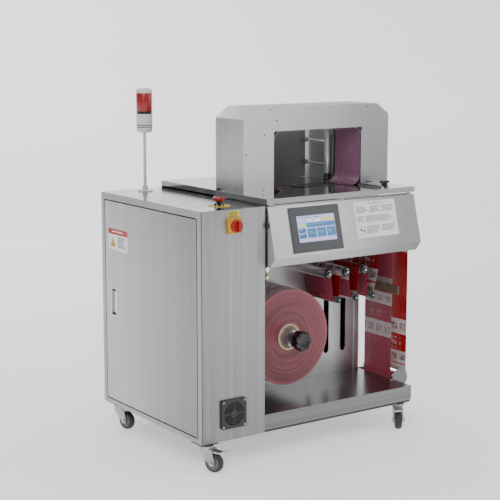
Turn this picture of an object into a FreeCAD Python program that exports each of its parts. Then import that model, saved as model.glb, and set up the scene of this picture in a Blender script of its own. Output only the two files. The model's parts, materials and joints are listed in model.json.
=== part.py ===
import FreeCAD, Part
import math
import os
import re
import Sketcher

# Wide-film arch banding machine on casters. Working coordinates: x runs right along the operator's
# side from the cabinet's left face, y runs back from the cabinet's front face, z runs up from the
# cabinet's underside. The origin cells then carry everything to the row frame: bottom centre of the
# whole machine, standing on the floor.

Vector = FreeCAD.Vector
doc = FreeCAD.newDocument("arch_banding_machine")
sheet = doc.addObject("Spreadsheet::Sheet", "Sizes")

SIZES = [
    # name, millimetres
    ("origin_x", 0), ("origin_y", 0), ("origin_z", 0),
    ("sheet_t", 1.5), ("cab_w", 246), ("cab_d", 645), ("cab_h", 753), ("seam", 3.5),
    ("door_border", 22), ("door_sill", 16), ("door_head", 23), ("door_gap", 4), ("door_depth", 20),
    ("hinge_inset", 5), ("hinge_pin_rad", 2.5), ("pin_play", 0.05), ("pin_len", 26),
    ("latch_y", 563), ("latch_z", 373), ("latch_len", 92), ("latch_wide", 27),
    ("base_high", 25), ("base_bar", 40), ("base_inset", 3), ("caster_plate", 64), ("plate_thick", 4),
    ("caster_high", 90), ("wheel_rad", 31.5), ("wheel_wide", 24), ("caster_offset", 30),
    ("axle_rad", 4), ("fork_thick", 3), ("fork_gap", 2), ("raceway_rad", 24),
    ("front_caster_x", 26), ("front_caster_y", 14), ("right_caster_x", 848), ("right_caster_y", 28),
    ("rear_caster_y", 580),
    ("tray_right", 887), ("tray_top", 60), ("tray_flange", 52),
    ("table_left", 250), ("table_right", 881), ("table_front", -5), ("table_back", 652),
    ("table_top", 775), ("table_flange", 18), ("table_seam", 300), ("seam_gap", 1),
    ("wall_y", 300), ("wall_t", 3), ("post_size", 20),
    ("arch_left", 259), ("arch_right", 881), ("arch_front", 141), ("arch_back", 307),
    ("arch_top", 1058), ("chamfer_x", 51.5), ("chamfer_z", 37), ("open_left", 382),
    ("open_right", 758), ("open_top", 978), ("open_round", 8), ("track_inset", 1),
    ("track_round", 38), ("film_t", 0.6), ("film_front", 145), ("film_wide", 150), ("film_gap", 0.35),
    ("anvil_x", 545), ("anvil_y", 183), ("anvil_w", 165), ("anvil_d", 85), ("anvil_t", 2),
    ("fence_y", 455), ("fence_left", 400), ("fence_right", 752), ("side_wall_x", 760),
    ("fence_high", 205), ("rod_x", 744), ("rod_rad", 4), ("rod_low_z", 833), ("rod_high_z", 915),
    ("stand_x", 758), ("stand_y", 319), ("stand_rad", 10),
    ("panel_left", 252), ("panel_right", 876.5), ("panel_top", 749), ("panel_lip_z", 555),
    ("panel_knee_z", 586), ("panel_knee_y", -47), ("panel_lip_y", -22.5), ("panel_top_y", -4.5),
    ("panel_back", 30), ("pivot_y", 2), ("pivot_z", 751), ("pivot_rad", 2),
    ("hmi_x", 330.5), ("hmi_w", 204), ("hmi_h", 150), ("hmi_down", 9), ("hmi_proud", 6),
    ("hmi_body_w", 190), ("hmi_body_h", 136), ("hmi_body_d", 32), ("screen_w", 155), ("screen_h", 87),
    ("screen_down", 39), ("panel_knob_y", -7.5), ("panel_knob_z", 690), ("panel_knob_rad", 9),
    ("fan_x", 120), ("fan_z", 88), ("fan_size", 96), ("fan_hole_rad", 42), ("fan_rad", 38),
    ("guard_t", 8), ("hub_rad", 15), ("fan_depth", 25),
    ("switch_x", 124), ("switch_z", 700.5), ("switch_size", 49), ("switch_t", 10),
    ("switch_knob_rad", 21), ("switch_knob_t", 24), ("switch_shaft_rad", 4),
    ("estop_x", 129), ("estop_y", 91), ("estop_ring_rad", 37), ("estop_ring_t", 1.5),
    ("estop_collar_rad", 15), ("estop_collar_high", 9), ("estop_stem_rad", 8), ("estop_cap_rad", 20.5),
    ("estop_high", 29), ("estop_travel", 6),
    ("tower_x", 132), ("tower_y", 566), ("pole_rad", 5.5), ("pole_len", 205), ("tower_rad", 28.5),
    ("flange_rad", 26), ("body_len", 68), ("ring_len", 8), ("lens_len", 63), ("cap_len", 15),
    ("reel_x", 451), ("reel_z", 267), ("roll_rad", 167), ("core_out", 46.5), ("core_in", 38.5),
    ("shaft_rad", 12.5), ("shaft_end", 352), ("knob_rad", 34), ("knob_front", 58), ("knob_back", 100),
    ("bearing_rad", 30), ("bearing_len", 22), ("shaft_play", 0.05),
    ("roller_rad", 16), ("dancer_rad", 12.5), ("guide_rad", 10.5), ("roller_bore", 6),
    ("roller_play", 0.05), ("roller_front", 133),
    ("upper_one_x", 615), ("upper_two_x", 694), ("upper_three_x", 777), ("upper_z", 471),
    ("dancer_one_x", 657), ("dancer_two_x", 735), ("dancer_three_x", 813), ("dancer_z", 375),
    ("slot_bottom", 138), ("slot_top", 392), ("slot_w", 21), ("carriage_bar", 22),
    ("guide_x", 350), ("guide_z", 489), ("guide_two_z", 516),
    ("corner_bar_x", 899), ("corner_bar_z", 600), ("film_a_x", 915), ("film_b_x", 988),
    ("bottom_bar_z", 48), ("top_bar_z", 690), ("feed_bar_x", 790),
    ("arm_front", 80), ("arm_z", 391), ("sensor_y", 122), ("sensor_z", 425),
    ("head_w", 120), ("head_d", 60), ("head_h", 44), ("head_gap", 14),
    ("latch_knob_x", 823), ("latch_knob_y", 88), ("latch_knob_rad", 11),
    ("power_d", 420), ("power_h", 480),
]
CELLS = dict(SIZES)

# Lengths that follow from the driving cells above.
DERIVED = {
    "cab_top_under": "cab_h - sheet_t",
    "frame_left": "sheet_t + door_depth + 1",
    "door_front": "door_border",
    "door_back": "cab_d - door_border",
    "door_low": "door_sill",
    "door_high": "cab_h - door_head",
    "tray_under": "tray_top - tray_flange",
    "table_under": "table_top - table_flange",
    "film_back": "film_front + film_wide",
    "roller_back": "wall_y - 1",
    "wall_right": "tray_right - post_size - sheet_t",
    "post_front": "wall_y - 4",
    "track_left": "open_left - track_inset",
    "track_right": "open_right + track_inset",
    "track_top": "open_top + track_inset",
    "shaft_front": "knob_front + 8",
    "axle_z": "wheel_rad - caster_high",
    "bottom_bar_rad": "(film_b_x - film_a_x) / 2",
    "top_bar_x": "film_b_x - roller_rad",
    "pivot_middle": "(panel_left + panel_right) / 2",
}
WORD = re.compile(r"[a-z][a-z_0-9]*")


def spell(text, write):
    """Replace each size's name in an expression with what write gives for it."""
    def swap(match):
        word = match.group(0)
        if word in DERIVED:
            return "(" + spell(DERIVED[word], write) + ")"
        return write(word) if word in CELLS else word
    return WORD.sub(swap, str(text))


def formula(text):
    """An expression that reads the sheet's cells."""
    return spell(text, lambda word: "Sizes." + word)


def size(text):
    """The value of an expression now, in millimetres."""
    plain = spell(text, lambda word: "(%r)" % float(sheet.get(word)))
    return FreeCAD.Units.Quantity(plain).Value


for row, (name, amount) in enumerate(SIZES, start=1):
    sheet.set("A%d" % row, name)
    sheet.set("B%d" % row, str(amount))
    sheet.setAlias("B%d" % row, name)
doc.recompute()

parts = {}


def bind(item, **formulas):
    """Bind properties to the sheet; a double underscore in a key stands for a dot."""
    for key, text in formulas.items():
        item.setExpression(key.replace("__", "."), formula(text))


def keep(item, label, x="0", y="0", z="0"):
    """Name a finished sub-part and carry it from working coordinates to the row frame."""
    item.Label = label
    bind(item, Placement__Base__x="origin_x + " + x, Placement__Base__y="origin_y + " + y,
         Placement__Base__z="origin_z + " + z)
    parts[label] = item
    return item


def block(x_from, x_to, y_from, y_to, z_from, z_to):
    """A box between six bound coordinates."""
    item = doc.addObject("Part::Box", "Block")
    bind(item, Length="(%s) - (%s)" % (x_to, x_from), Width="(%s) - (%s)" % (y_to, y_from),
         Height="(%s) - (%s)" % (z_to, z_from), Placement__Base__x=x_from, Placement__Base__y=y_from,
         Placement__Base__z=z_from)
    return item


TURN = {
    "x": FreeCAD.Rotation(Vector(0, 1, 0), 90),
    "y": FreeCAD.Rotation(Vector(1, 0, 0), -90),
    "z": FreeCAD.Rotation(),
}


def rod(axis, start, end, first, second, radius):
    """A cylinder along an axis, between two bound ends, about a bound centre line."""
    item = doc.addObject("Part::Cylinder", "Rod")
    item.Placement = FreeCAD.Placement(Vector(), TURN[axis])
    where = {"x": (start, first, second), "y": (first, start, second), "z": (first, second, start)}[axis]
    bind(item, Radius=radius, Height="(%s) - (%s)" % (end, start), Placement__Base__x=where[0],
         Placement__Base__y=where[1], Placement__Base__z=where[2])
    return item


def join(*items):
    """One solid of pieces that are welded or moulded together."""
    item = doc.addObject("Part::MultiFuse", "Joined")
    item.Shapes = list(items)
    return item


def group(*items):
    """Separate solids that share a node."""
    item = doc.addObject("Part::Compound", "Group")
    item.Links = list(items)
    return item


def cut(base, *tools):
    """The base without its tools."""
    item = doc.addObject("Part::Cut", "Cut")
    item.Base = base
    item.Tool = tools[0] if len(tools) == 1 else join(*tools)
    return item


def fixed_shape(shape):
    """A sub-part or tool whose shape is worked out here from the sheet's values."""
    item = doc.addObject("Part::Feature", "Shape")
    item.Shape = shape
    return item


def draw(sketch, outline):
    """Draw a closed polygon whose corners are bound, or a circle given as (x, y, radius)."""
    if isinstance(outline, tuple):
        where_x, where_y, radius = outline
        arc = sketch.addGeometry(Part.Circle(Vector(size(where_x), size(where_y), 0), Vector(0, 0, 1),
                                             size(radius)))
        ends = [("DistanceX", arc, 3, where_x), ("DistanceY", arc, 3, where_y)]
        number = sketch.addConstraint(Sketcher.Constraint("Radius", arc, size(radius)))
        sketch.setExpression("Constraints[%d]" % number, formula(radius))
    else:
        corners = [Vector(size(a), size(b), 0) for a, b in outline]
        lines = [sketch.addGeometry(Part.LineSegment(corner, corners[(i + 1) % len(corners)]))
                 for i, corner in enumerate(corners)]
        for i, line in enumerate(lines):
            sketch.addConstraint(Sketcher.Constraint("Coincident", line, 2, lines[(i + 1) % len(lines)], 1))
        ends = [("DistanceX", line, 1, a) for line, (a, b) in zip(lines, outline)]
        ends += [("DistanceY", line, 1, b) for line, (a, b) in zip(lines, outline)]
    for kind, geometry, point, text in ends:
        number = sketch.addConstraint(Sketcher.Constraint(kind, -1, 1, geometry, point, size(text)))
        sketch.setExpression("Constraints[%d]" % number, formula(text))


def sketched_body(plane, offset, outlines):
    """A body with one sketch of bound outlines on one of its own origin planes."""
    body = doc.addObject("PartDesign::Body", "Body")
    sketch = body.newObject("Sketcher::SketchObject", "Outline")
    support = [item for item in body.Origin.OriginFeatures if item.Role == plane + "_Plane"][0]
    sketch.AttachmentSupport = [(support, "")]
    sketch.MapMode = "FlatFace"
    bind(sketch, AttachmentOffset__Base__z=offset)
    for outline in outlines:
        draw(sketch, outline)
    return body, sketch


def plate(plane, start, end, *outlines):
    """A flat piece: outlines on XY, XZ or YZ, filled from start to end across that plane."""
    offset = "-(%s)" % end if plane == "XZ" else start
    body, sketch = sketched_body(plane, offset, outlines)
    pad = body.newObject("PartDesign::Pad", "Pad")
    pad.Profile = sketch
    bind(pad, Length="(%s) - (%s)" % (end, start))
    return body


def turned(outline, axis="z"):
    """A turned piece: an outline of (radius, height) corners revolved, its height along the axis."""
    body, sketch = sketched_body("XZ", "0", [outline])
    spin = body.newObject("PartDesign::Revolution", "Turning")
    spin.Profile = sketch
    spin.ReferenceAxis = (sketch, ["V_Axis"])
    spin.Angle = 360
    body.Placement = FreeCAD.Placement(Vector(), TURN[axis])
    return body


def rounded(body, radius, *corners):
    """Round a plate's edges that cross it at the given corners of its XZ outline."""
    doc.recompute()
    base = body.Tip
    names = []
    for number, edge in enumerate(base.Shape.Edges, start=1):
        box = edge.BoundBox
        if box.XLength + box.ZLength > 0.001:
            continue
        if any(math.hypot(box.Center.x - size(a), box.Center.z - size(b)) < 0.01 for a, b in corners):
            names.append("Edge%d" % number)
    fillet = body.newObject("PartDesign::Fillet", "Rounding")
    fillet.Base = (base, names)
    bind(fillet, Radius=radius)
    return body


def tube(axis, start, end, first, second, radius, bore):
    """A round tube with its bore right through."""
    return cut(rod(axis, start, end, first, second, radius),
               rod(axis, start + " - 1", end + " + 1", first, second, bore))


# ---------------------------------------------------------------- base frame

frame_pan = cut(
    block("frame_left", "tray_right - base_inset", "base_inset", "cab_d - base_inset", "0",
          "base_high"),
    block("frame_left + base_bar", "cab_w - 20", "base_inset + base_bar",
          "cab_d - base_inset - base_bar", "-1", "base_high - 2"),
    block("cab_w + 20", "tray_right - base_inset - base_bar", "base_inset + base_bar",
          "cab_d - base_inset - base_bar", "-1", "base_high - 2"))
CASTERS = {
    "front_left": ("front_caster_x", "front_caster_y", -65),
    "front_right": ("right_caster_x", "right_caster_y", -125),
    "rear_left": ("front_caster_x + 4", "rear_caster_y", -75),
    "rear_right": ("right_caster_x", "rear_caster_y", -60),
}
half_plate = "caster_plate / 2"
caster_plates = [block("%s - %s + 6" % (x, half_plate), "%s + %s + 6" % (x, half_plate),
                       "%s - %s + 18" % (y, half_plate), "%s + %s + 18" % (y, half_plate),
                       "-plate_thick", "0") for x, y, turn in CASTERS.values()]
keep(group(frame_pan, *caster_plates), "base_frame")

# ---------------------------------------------------------------- cabinet

shell = plate("XY", "0", "cab_top_under", [
    ("seam", "0"), ("cab_w", "0"), ("cab_w", "cab_d"), ("seam", "cab_d"), ("seam", "cab_d - sheet_t"),
    ("cab_w - sheet_t", "cab_d - sheet_t"), ("cab_w - sheet_t", "sheet_t"), ("seam", "sheet_t")])
keep(cut(shell,
         block("cab_w - sheet_t - 1", "cab_w + 1", "sheet_t", "cab_d - sheet_t", "-1", "base_high"),
         rod("y", "-1", "sheet_t + 1", "fan_x", "fan_z", "fan_hole_rad"),
         rod("y", "-1", "sheet_t + 1", "switch_x", "switch_z", "switch_shaft_rad + 3")),
     "cabinet_shell")

lip = "sheet_t + door_depth"
door_frame = plate("YZ", "0", "sheet_t",
                   [("0", "0"), ("cab_d", "0"), ("cab_d", "cab_top_under"), ("0", "cab_top_under")],
                   [("door_front", "door_low"), ("door_front", "door_high"), ("door_back", "door_high"),
                    ("door_back", "door_low")])
door_seat = cut(
    block("sheet_t", lip, "door_front - sheet_t", "door_back + sheet_t", "door_low - sheet_t",
          "door_high + sheet_t"),
    block("0", lip + " + 1", "door_front", "door_back", "door_low", "door_high"))
PIN_Y = "door_front + door_gap + hinge_inset"
pin_holes = rod("z", "door_low - 3", "door_high + 3", "hinge_inset", PIN_Y, "hinge_pin_rad")
keep(cut(join(door_frame, door_seat), pin_holes), "cabinet_door_frame")
keep(group(
    rod("z", "door_low - 3", "door_low + pin_len - 3", "hinge_inset", PIN_Y, "hinge_pin_rad"),
    rod("z", "door_high + 3 - pin_len", "door_high + 3", "hinge_inset", PIN_Y, "hinge_pin_rad")),
     "door_hinge_pins")

top_edge = "seam + 1"
lid = join(block("0", "cab_w", "0", "cab_d", "cab_top_under", "cab_h"),
          cut(block(top_edge, "cab_w - sheet_t - 0.5", "sheet_t + 0.5", "cab_d - sheet_t - 0.5",
                    "cab_top_under - 14", "cab_top_under"),
              block(top_edge + " + sheet_t", "cab_w - 2 * sheet_t - 0.5", "2 * sheet_t + 0.5",
                    "cab_d - 2 * sheet_t - 0.5", "cab_top_under - 15", "cab_top_under")))
keep(cut(lid, rod("z", "cab_top_under - 1", "cab_h + 1", "estop_x", "estop_y", "estop_stem_rad + 1")),
     "cabinet_top")

leaf_front = "door_front + door_gap"
leaf_back = "door_back - door_gap"
leaf_low = "door_low + door_gap"
leaf_high = "door_high - door_gap"
leaf = cut(block("0", "door_depth", leaf_front, leaf_back, leaf_low, leaf_high),
           block("sheet_t", "door_depth + 1", leaf_front + " + sheet_t", leaf_back + " - sheet_t",
                 leaf_low + " + sheet_t", leaf_high + " - sheet_t"))
pin_bore = rod("z", leaf_low + " - 1", leaf_high + " + 1", "hinge_inset", PIN_Y,
               "hinge_pin_rad + pin_play")
latch_window = block("-1", "sheet_t + 1", "latch_y - latch_wide / 2", "latch_y + latch_wide / 2",
                     "latch_z - latch_len / 2", "latch_z + latch_len / 2")
latch_pocket = cut(
    block("0", "17", "latch_y - latch_wide / 2 - 3", "latch_y + latch_wide / 2 + 3",
          "latch_z - latch_len / 2 - 3", "latch_z + latch_len / 2 + 3"),
    block("-1", "15", "latch_y - latch_wide / 2", "latch_y + latch_wide / 2", "latch_z - latch_len / 2",
          "latch_z + latch_len / 2"))
FLAP_Z = "latch_z + latch_len / 2 - 12"
flap_bore = rod("y", "latch_y - latch_wide / 2 - 2.5", "latch_y + latch_wide / 2 + 2.5", "8", FLAP_Z,
                "2 + pin_play")
keep(cut(join(cut(leaf, latch_window), latch_pocket), pin_bore, flap_bore), "cabinet_door")
keep(join(block("6", "10", "latch_y - latch_wide / 2 + 1", "latch_y + latch_wide / 2 - 1",
                "latch_z - latch_len / 2 + 6", FLAP_Z + " + 2.5"),
          rod("y", "latch_y - latch_wide / 2 - 2", "latch_y + latch_wide / 2 + 2", "8", FLAP_Z, "2")),
     "door_latch")

# ---------------------------------------------------------------- cabinet fittings

half_fan = "fan_size / 2"
guard_square = [("fan_x - " + half_fan, "fan_z - " + half_fan),
                ("fan_x + " + half_fan, "fan_z - " + half_fan),
                ("fan_x + " + half_fan, "fan_z + " + half_fan),
                ("fan_x - " + half_fan, "fan_z + " + half_fan)]
guard = rounded(plate("XZ", "-guard_t", "0", guard_square), "6", *guard_square)
guard_rings = [cut(rod("y", "-guard_t - 1", "1", "fan_x", "fan_z", "%g" % (outer + 3)),
                   rod("y", "-guard_t - 2", "2", "fan_x", "fan_z", "%g" % outer))
               for outer in (15, 21.5, 28, 34.5)]
guard_bars = [block("fan_x - 42", "fan_x + 42", "-guard_t + 3", "-1", "fan_z - 2", "fan_z + 2"),
              block("fan_x - 2", "fan_x + 2", "-guard_t + 3", "-1", "fan_z - 42", "fan_z + 42")]
guard_slots = [cut(ring, *[block("fan_x - 42", "fan_x + 42", "-guard_t - 3", "3", "fan_z - 2", "fan_z + 2"),
                           block("fan_x - 2", "fan_x + 2", "-guard_t - 3", "3", "fan_z - 42", "fan_z + 42")])
               for ring in guard_rings]
keep(join(cut(guard, *guard_slots), rod("y", "-2", "fan_depth + 2", "fan_x", "fan_z", "3")), "fan_guard")

blade = block("fan_x - 1", "fan_x + 1", "6", "22", "fan_z + hub_rad - 2", "fan_z + fan_rad")
rotor_hub = tube("y", "4", "fan_depth", "fan_x", "fan_z", "hub_rad", "3 + pin_play")
BLADES = 7


def spun(item, turn):
    """The same blade turned about the fan's axis, pitched like a propeller's."""
    centre = Vector(size("fan_x"), 14, size("fan_z"))
    shape = item.Shape.copy()
    shape.rotate(Vector(centre.x, centre.y, centre.z + 25), Vector(0, 0, 1), 35)
    shape.rotate(centre, Vector(0, 1, 0), turn)
    return fixed_shape(shape)


doc.recompute()
keep(join(rotor_hub, *[spun(blade, 360 * i / BLADES) for i in range(BLADES)]), "fan_rotor")

half_switch = "switch_size / 2"
switch_square = [("switch_x - " + half_switch, "switch_z - " + half_switch),
                 ("switch_x + " + half_switch, "switch_z - " + half_switch),
                 ("switch_x + " + half_switch, "switch_z + " + half_switch),
                 ("switch_x - " + half_switch, "switch_z + " + half_switch)]
switch_base = rounded(plate("XZ", "-switch_t", "0", switch_square), "4", *switch_square)
keep(cut(join(switch_base, rod("y", "-switch_t - 5", "-1", "switch_x", "switch_z", "switch_knob_rad + 2")),
         rod("y", "-switch_t - 6", "2", "switch_x", "switch_z", "switch_shaft_rad + pin_play")),
     "switch_plate")
knob_face = "-switch_t - 5.5"
grip = block("switch_x - 5", "switch_x + 5", "-switch_t - switch_knob_t - 5", knob_face + " - 5",
             "switch_z - switch_knob_rad + 3", "switch_z + switch_knob_rad - 3")
keep(join(rod("y", knob_face + " - 10", knob_face, "switch_x", "switch_z", "switch_knob_rad"), grip,
          rod("y", knob_face, "12", "switch_x", "switch_z", "switch_shaft_rad")), "switch_knob")

bore = "estop_stem_rad + 0.3"
keep(turned([(bore, "0"), ("estop_ring_rad", "0"), ("estop_ring_rad", "estop_ring_t"),
             ("estop_collar_rad", "estop_ring_t"), ("estop_collar_rad", "estop_collar_high"),
             (bore, "estop_collar_high")]), "estop_plate", "estop_x", "estop_y", "cab_h")
under = "estop_collar_high + estop_travel + 1"
keep(turned([("0", "1"), ("estop_stem_rad", "1"), ("estop_stem_rad", under),
             ("estop_cap_rad - 5", under), ("estop_cap_rad", "estop_high - 5"),
             ("estop_cap_rad - 2.5", "estop_high - 1"), ("0", "estop_high")]),
     "estop_button", "estop_x", "estop_y", "cab_h")

keep(turned([("0", "0"), ("flange_rad", "0"), ("flange_rad", "3"), ("pole_rad + 4", "4"),
             ("pole_rad + 4", "20"), ("pole_rad", "21"), ("pole_rad", "pole_len"), ("0", "pole_len")]),
     "tower_pole", "tower_x", "tower_y", "cab_h")
tower_seat = "cab_h + pole_len"
keep(turned([("0", "0"), ("tower_rad - 12", "0"), ("tower_rad - 3", "4"), ("tower_rad", "14"),
             ("tower_rad", "body_len"), ("0", "body_len")]),
     "tower_body", "tower_x", "tower_y", tower_seat)
lens_end = "ring_len + lens_len"
keep(turned([("0", "0"), ("tower_rad - 1.5", "0"), ("tower_rad - 1.5", "ring_len"), ("tower_rad", "ring_len"),
             ("tower_rad", lens_end), ("tower_rad - 1", lens_end + " + cap_len - 4"),
             ("tower_rad - 6", lens_end + " + cap_len"), ("0", lens_end + " + cap_len")]),
     "tower_lens", "tower_x", "tower_y", tower_seat + " + body_len")

board_x = "cab_w - sheet_t - 4"
board = block(board_x, "cab_w - sheet_t", "100", "100 + power_d", "150", "150 + power_h")
UNITS = [  # y from, y to, depth from the board, z from, z to
    (115, 235, 110, 500, 610), (255, 375, 95, 500, 610), (395, 500, 70, 500, 600),
    (115, 330, 60, 370, 460), (350, 500, 85, 350, 460), (115, 500, 45, 260, 320), (115, 300, 120, 165, 240),
]
keep(join(board, *[block(board_x + " - %g" % deep, board_x, "%g" % y_from, "%g" % y_to, "%g" % z_from,
                         "%g" % z_to) for y_from, y_to, deep, z_from, z_to in UNITS]), "power_unit")

# ---------------------------------------------------------------- tray, reel wall and posts

keep(join(block("cab_w", "tray_right", "0", "cab_d", "tray_top - sheet_t", "tray_top"),
          block("cab_w", "tray_right", "0", "sheet_t", "tray_under", "tray_top"),
          block("cab_w", "tray_right", "cab_d - sheet_t", "cab_d", "tray_under", "tray_top"),
          block("tray_right - sheet_t", "tray_right", "0", "cab_d", "tray_under", "tray_top")),
     "reel_tray")

DANCERS = ["dancer_one_x", "dancer_two_x", "dancer_three_x"]
UPPERS = ["upper_one_x", "upper_two_x", "upper_three_x"]
half_slot = "slot_w / 2"
slots = []
for x in DANCERS:
    slots.append(block("%s - %s" % (x, half_slot), "%s + %s" % (x, half_slot), "wall_y - 1",
                       "wall_y + wall_t + 1", "slot_bottom + " + half_slot, "slot_top - " + half_slot))
    slots.append(rod("y", "wall_y - 1", "wall_y + wall_t + 1", x, "slot_bottom + " + half_slot, half_slot))
    slots.append(rod("y", "wall_y - 1", "wall_y + wall_t + 1", x, "slot_top - " + half_slot, half_slot))
reel_wall = cut(block("cab_w", "wall_right", "wall_y", "wall_y + wall_t", "tray_top", "table_under"),
                rod("y", "wall_y - 1", "wall_y + wall_t + 1", "reel_x", "reel_z", "bearing_rad - 6"), *slots)
front_post = block("wall_right", "wall_right + post_size", "post_front", "post_front + post_size",
                   "tray_top", "table_under")
back_post = block("wall_right", "wall_right + post_size", "cab_d - 3 - post_size", "cab_d - 3", "tray_top",
                  "table_under")
bearing = tube("y", "wall_y + wall_t", "wall_y + wall_t + bearing_len", "reel_x", "reel_z", "bearing_rad",
               "shaft_rad + shaft_play")
keep(group(reel_wall, front_post, back_post, bearing), "reel_wall")

keep(join(block("cab_w", "tray_right", "cab_d - sheet_t", "cab_d", "tray_top", "table_under"),
          block("tray_right - sheet_t", "tray_right", "wall_y + 14", "cab_d", "tray_top", "table_under")),
     "rear_cover")

# ---------------------------------------------------------------- table


def table_half(y_from, y_to):
    """A folded table plate: a top with flanges turned down on all four edges."""
    return cut(block("table_left", "table_right", y_from, y_to, "table_under", "table_top"),
               block("table_left + sheet_t", "table_right - sheet_t", y_from + " + sheet_t",
                     y_to + " - sheet_t", "table_under - 1", "table_top - sheet_t"))


seam_front = "table_seam - seam_gap / 2"
seam_back = "table_seam + seam_gap / 2"
window = block("anvil_x + 12", "anvil_x + anvil_w - 12", "anvil_y + 6", "anvil_y + anvil_d - 6",
               "table_top - 3", "table_top + 1")
rail = join(block("744", "754", "table_front + 16", "arch_front - 1", "table_top", "table_top + 5"),
            block("744", "749", "table_front + 16", "arch_front - 1", "table_top", "table_top + 9"))
lugs = [block("%s - 9" % x, "%s + 9" % x, "pivot_y - 1.5", "pivot_y + 1.5", "pivot_z - 1", "table_under + 1")
        for x in ("panel_left + 19", "pivot_middle", "panel_right - 19")]
hinge_rod = join(rod("x", "panel_left + 10", "panel_right - 10", "pivot_y", "pivot_z", "pivot_rad - 0.5"),
                 *lugs)
HEAD_X = "anvil_x + anvil_w / 2"
HEAD_Y = "anvil_y + anvil_d / 2"
head_pins = [rod("z", "table_under - 60", "table_top - sheet_t", "%s + %g" % (HEAD_X, x), HEAD_Y, "5")
             for x in (-48, 48)]
keep(group(cut(table_half("table_front", seam_front), window,
               rod("z", "table_top - 3", "table_top + 1", "latch_knob_x", "latch_knob_y", "4.05")), rail,
           hinge_rod, *head_pins), "table_front")
keep(table_half(seam_back, "table_back"), "table_rear")
keep(block("anvil_x", "anvil_x + anvil_w", "anvil_y", "anvil_y + anvil_d", "table_top",
           "table_top + anvil_t"), "sealing_anvil", "anvil_x", "anvil_y", "table_top")
keep(join(rod("z", "table_top + 0.5", "table_top + 9", "latch_knob_x", "latch_knob_y", "latch_knob_rad"),
          block("latch_knob_x - 18", "latch_knob_x + 18", "latch_knob_y - 5", "latch_knob_y + 5",
                "table_top + 7", "table_top + 15"),
          rod("z", "table_top - 12", "table_top + 2", "latch_knob_x", "latch_knob_y", "4")),
     "table_latch")

# ---------------------------------------------------------------- arch

arch_outline = [("arch_left", "table_top"), ("open_left", "table_top"), ("open_left", "open_top"),
                ("open_right", "open_top"), ("open_right", "table_top"), ("arch_right", "table_top"),
                ("arch_right", "arch_top - chamfer_z"), ("arch_right - chamfer_x", "arch_top"),
                ("arch_left + chamfer_x", "arch_top"), ("arch_left", "arch_top - chamfer_z")]
opening_corners = [("open_left", "open_top"), ("open_right", "open_top")]
keep(rounded(plate("XZ", "arch_front", "arch_front + sheet_t", arch_outline), "open_round",
             *opening_corners), "arch_front_plate")
keep(rounded(plate("XZ", "arch_back - sheet_t", "arch_back", arch_outline), "open_round",
             *opening_corners), "arch_rear_plate")
inside = "sheet_t"
keep(plate("XZ", "arch_front + sheet_t", "arch_back - sheet_t", [
    ("arch_left", "table_top"), ("arch_left + sheet_t", "table_top"),
    ("arch_left + sheet_t", "arch_top - chamfer_z - 0.6"),
    ("arch_left + chamfer_x + 0.4", "arch_top - sheet_t"),
    ("arch_right - chamfer_x - 0.4", "arch_top - sheet_t"),
    ("arch_right - sheet_t", "arch_top - chamfer_z - 0.6"), ("arch_right - sheet_t", "table_top"),
    ("arch_right", "table_top"), ("arch_right", "arch_top - chamfer_z"),
    ("arch_right - chamfer_x", "arch_top"),
    ("arch_left + chamfer_x", "arch_top"), ("arch_left", "arch_top - chamfer_z")]), "arch_cover")


def track_outline(inset):
    """The track's inner line, moved out by an inset, as a U open to the table."""
    return [("track_left - " + inset, "table_top"), ("track_left - " + inset, "track_top + " + inset),
            ("track_right + " + inset, "track_top + " + inset), ("track_right + " + inset, "table_top")]


track_blank = rounded(plate("XZ", "arch_front + sheet_t", "arch_back - sheet_t", track_outline("2")),
                      "track_round + 2", *track_outline("2")[1:3])
track_space = rounded(plate("XZ", "arch_front", "arch_back", [
    ("track_left", "table_top - 1"), ("track_left", "track_top"), ("track_right", "track_top"),
    ("track_right", "table_top - 1")]), "track_round", ("track_left", "track_top"),
    ("track_right", "track_top"))
keep(cut(track_blank, track_space), "arch_track")

# ---------------------------------------------------------------- fence behind the arch

side_wall = block("side_wall_x", "side_wall_x + 2", "arch_back", "fence_y + 12", "table_top",
                  "table_top + fence_high")
stand = rod("z", "table_top", "table_top + fence_high", "stand_x - 10", "stand_y", "stand_rad")
stand_bracket = block("stand_x - 2", "side_wall_x", "stand_y - 6", "stand_y + 6",
                      "table_top + fence_high - 40", "table_top + fence_high - 5")
rods = [rod("y", "stand_y + 5", "fence_y + 32", "rod_x", z, "rod_rad") for z in ("rod_low_z", "rod_high_z")]
keep(group(side_wall, join(stand, stand_bracket, *rods)), "fence_stand")
slide_bores = [rod("y", "fence_y - 22", "fence_y + 4", "rod_x", z, "rod_rad + pin_play")
               for z in ("rod_low_z", "rod_high_z")]
sleeves = [rod("y", "fence_y - 20", "fence_y + 1", "rod_x", z, "rod_rad + 4")
           for z in ("rod_low_z", "rod_high_z")]
fence_plate = join(block("fence_left", "fence_right", "fence_y", "fence_y + 2", "table_top + 1",
                         "table_top + fence_high"),
                   block("fence_left", "fence_right", "fence_y", "fence_y + 25", "table_top + 1",
                         "table_top + 3"))
keep(cut(join(fence_plate, *sleeves), *slide_bores), "rear_fence")

# ---------------------------------------------------------------- control panel

panel_profile = [("panel_top_y", "panel_top"), ("panel_knee_y", "panel_knee_z"),
                 ("panel_lip_y", "panel_lip_z"), ("panel_back", "panel_lip_z"), ("panel_back", "panel_top")]
panel_inside = [("panel_top_y + 2", "panel_top - sheet_t"), ("panel_knee_y + 2", "panel_knee_z"),
                ("panel_lip_y + 1", "panel_lip_z + sheet_t"), ("panel_back + 1", "panel_lip_z + sheet_t"),
                ("panel_back + 1", "panel_top - sheet_t")]
panel_box = cut(plate("YZ", "panel_left", "panel_right", panel_profile),
                plate("YZ", "panel_left + sheet_t", "panel_right - sheet_t", panel_inside))


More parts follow.
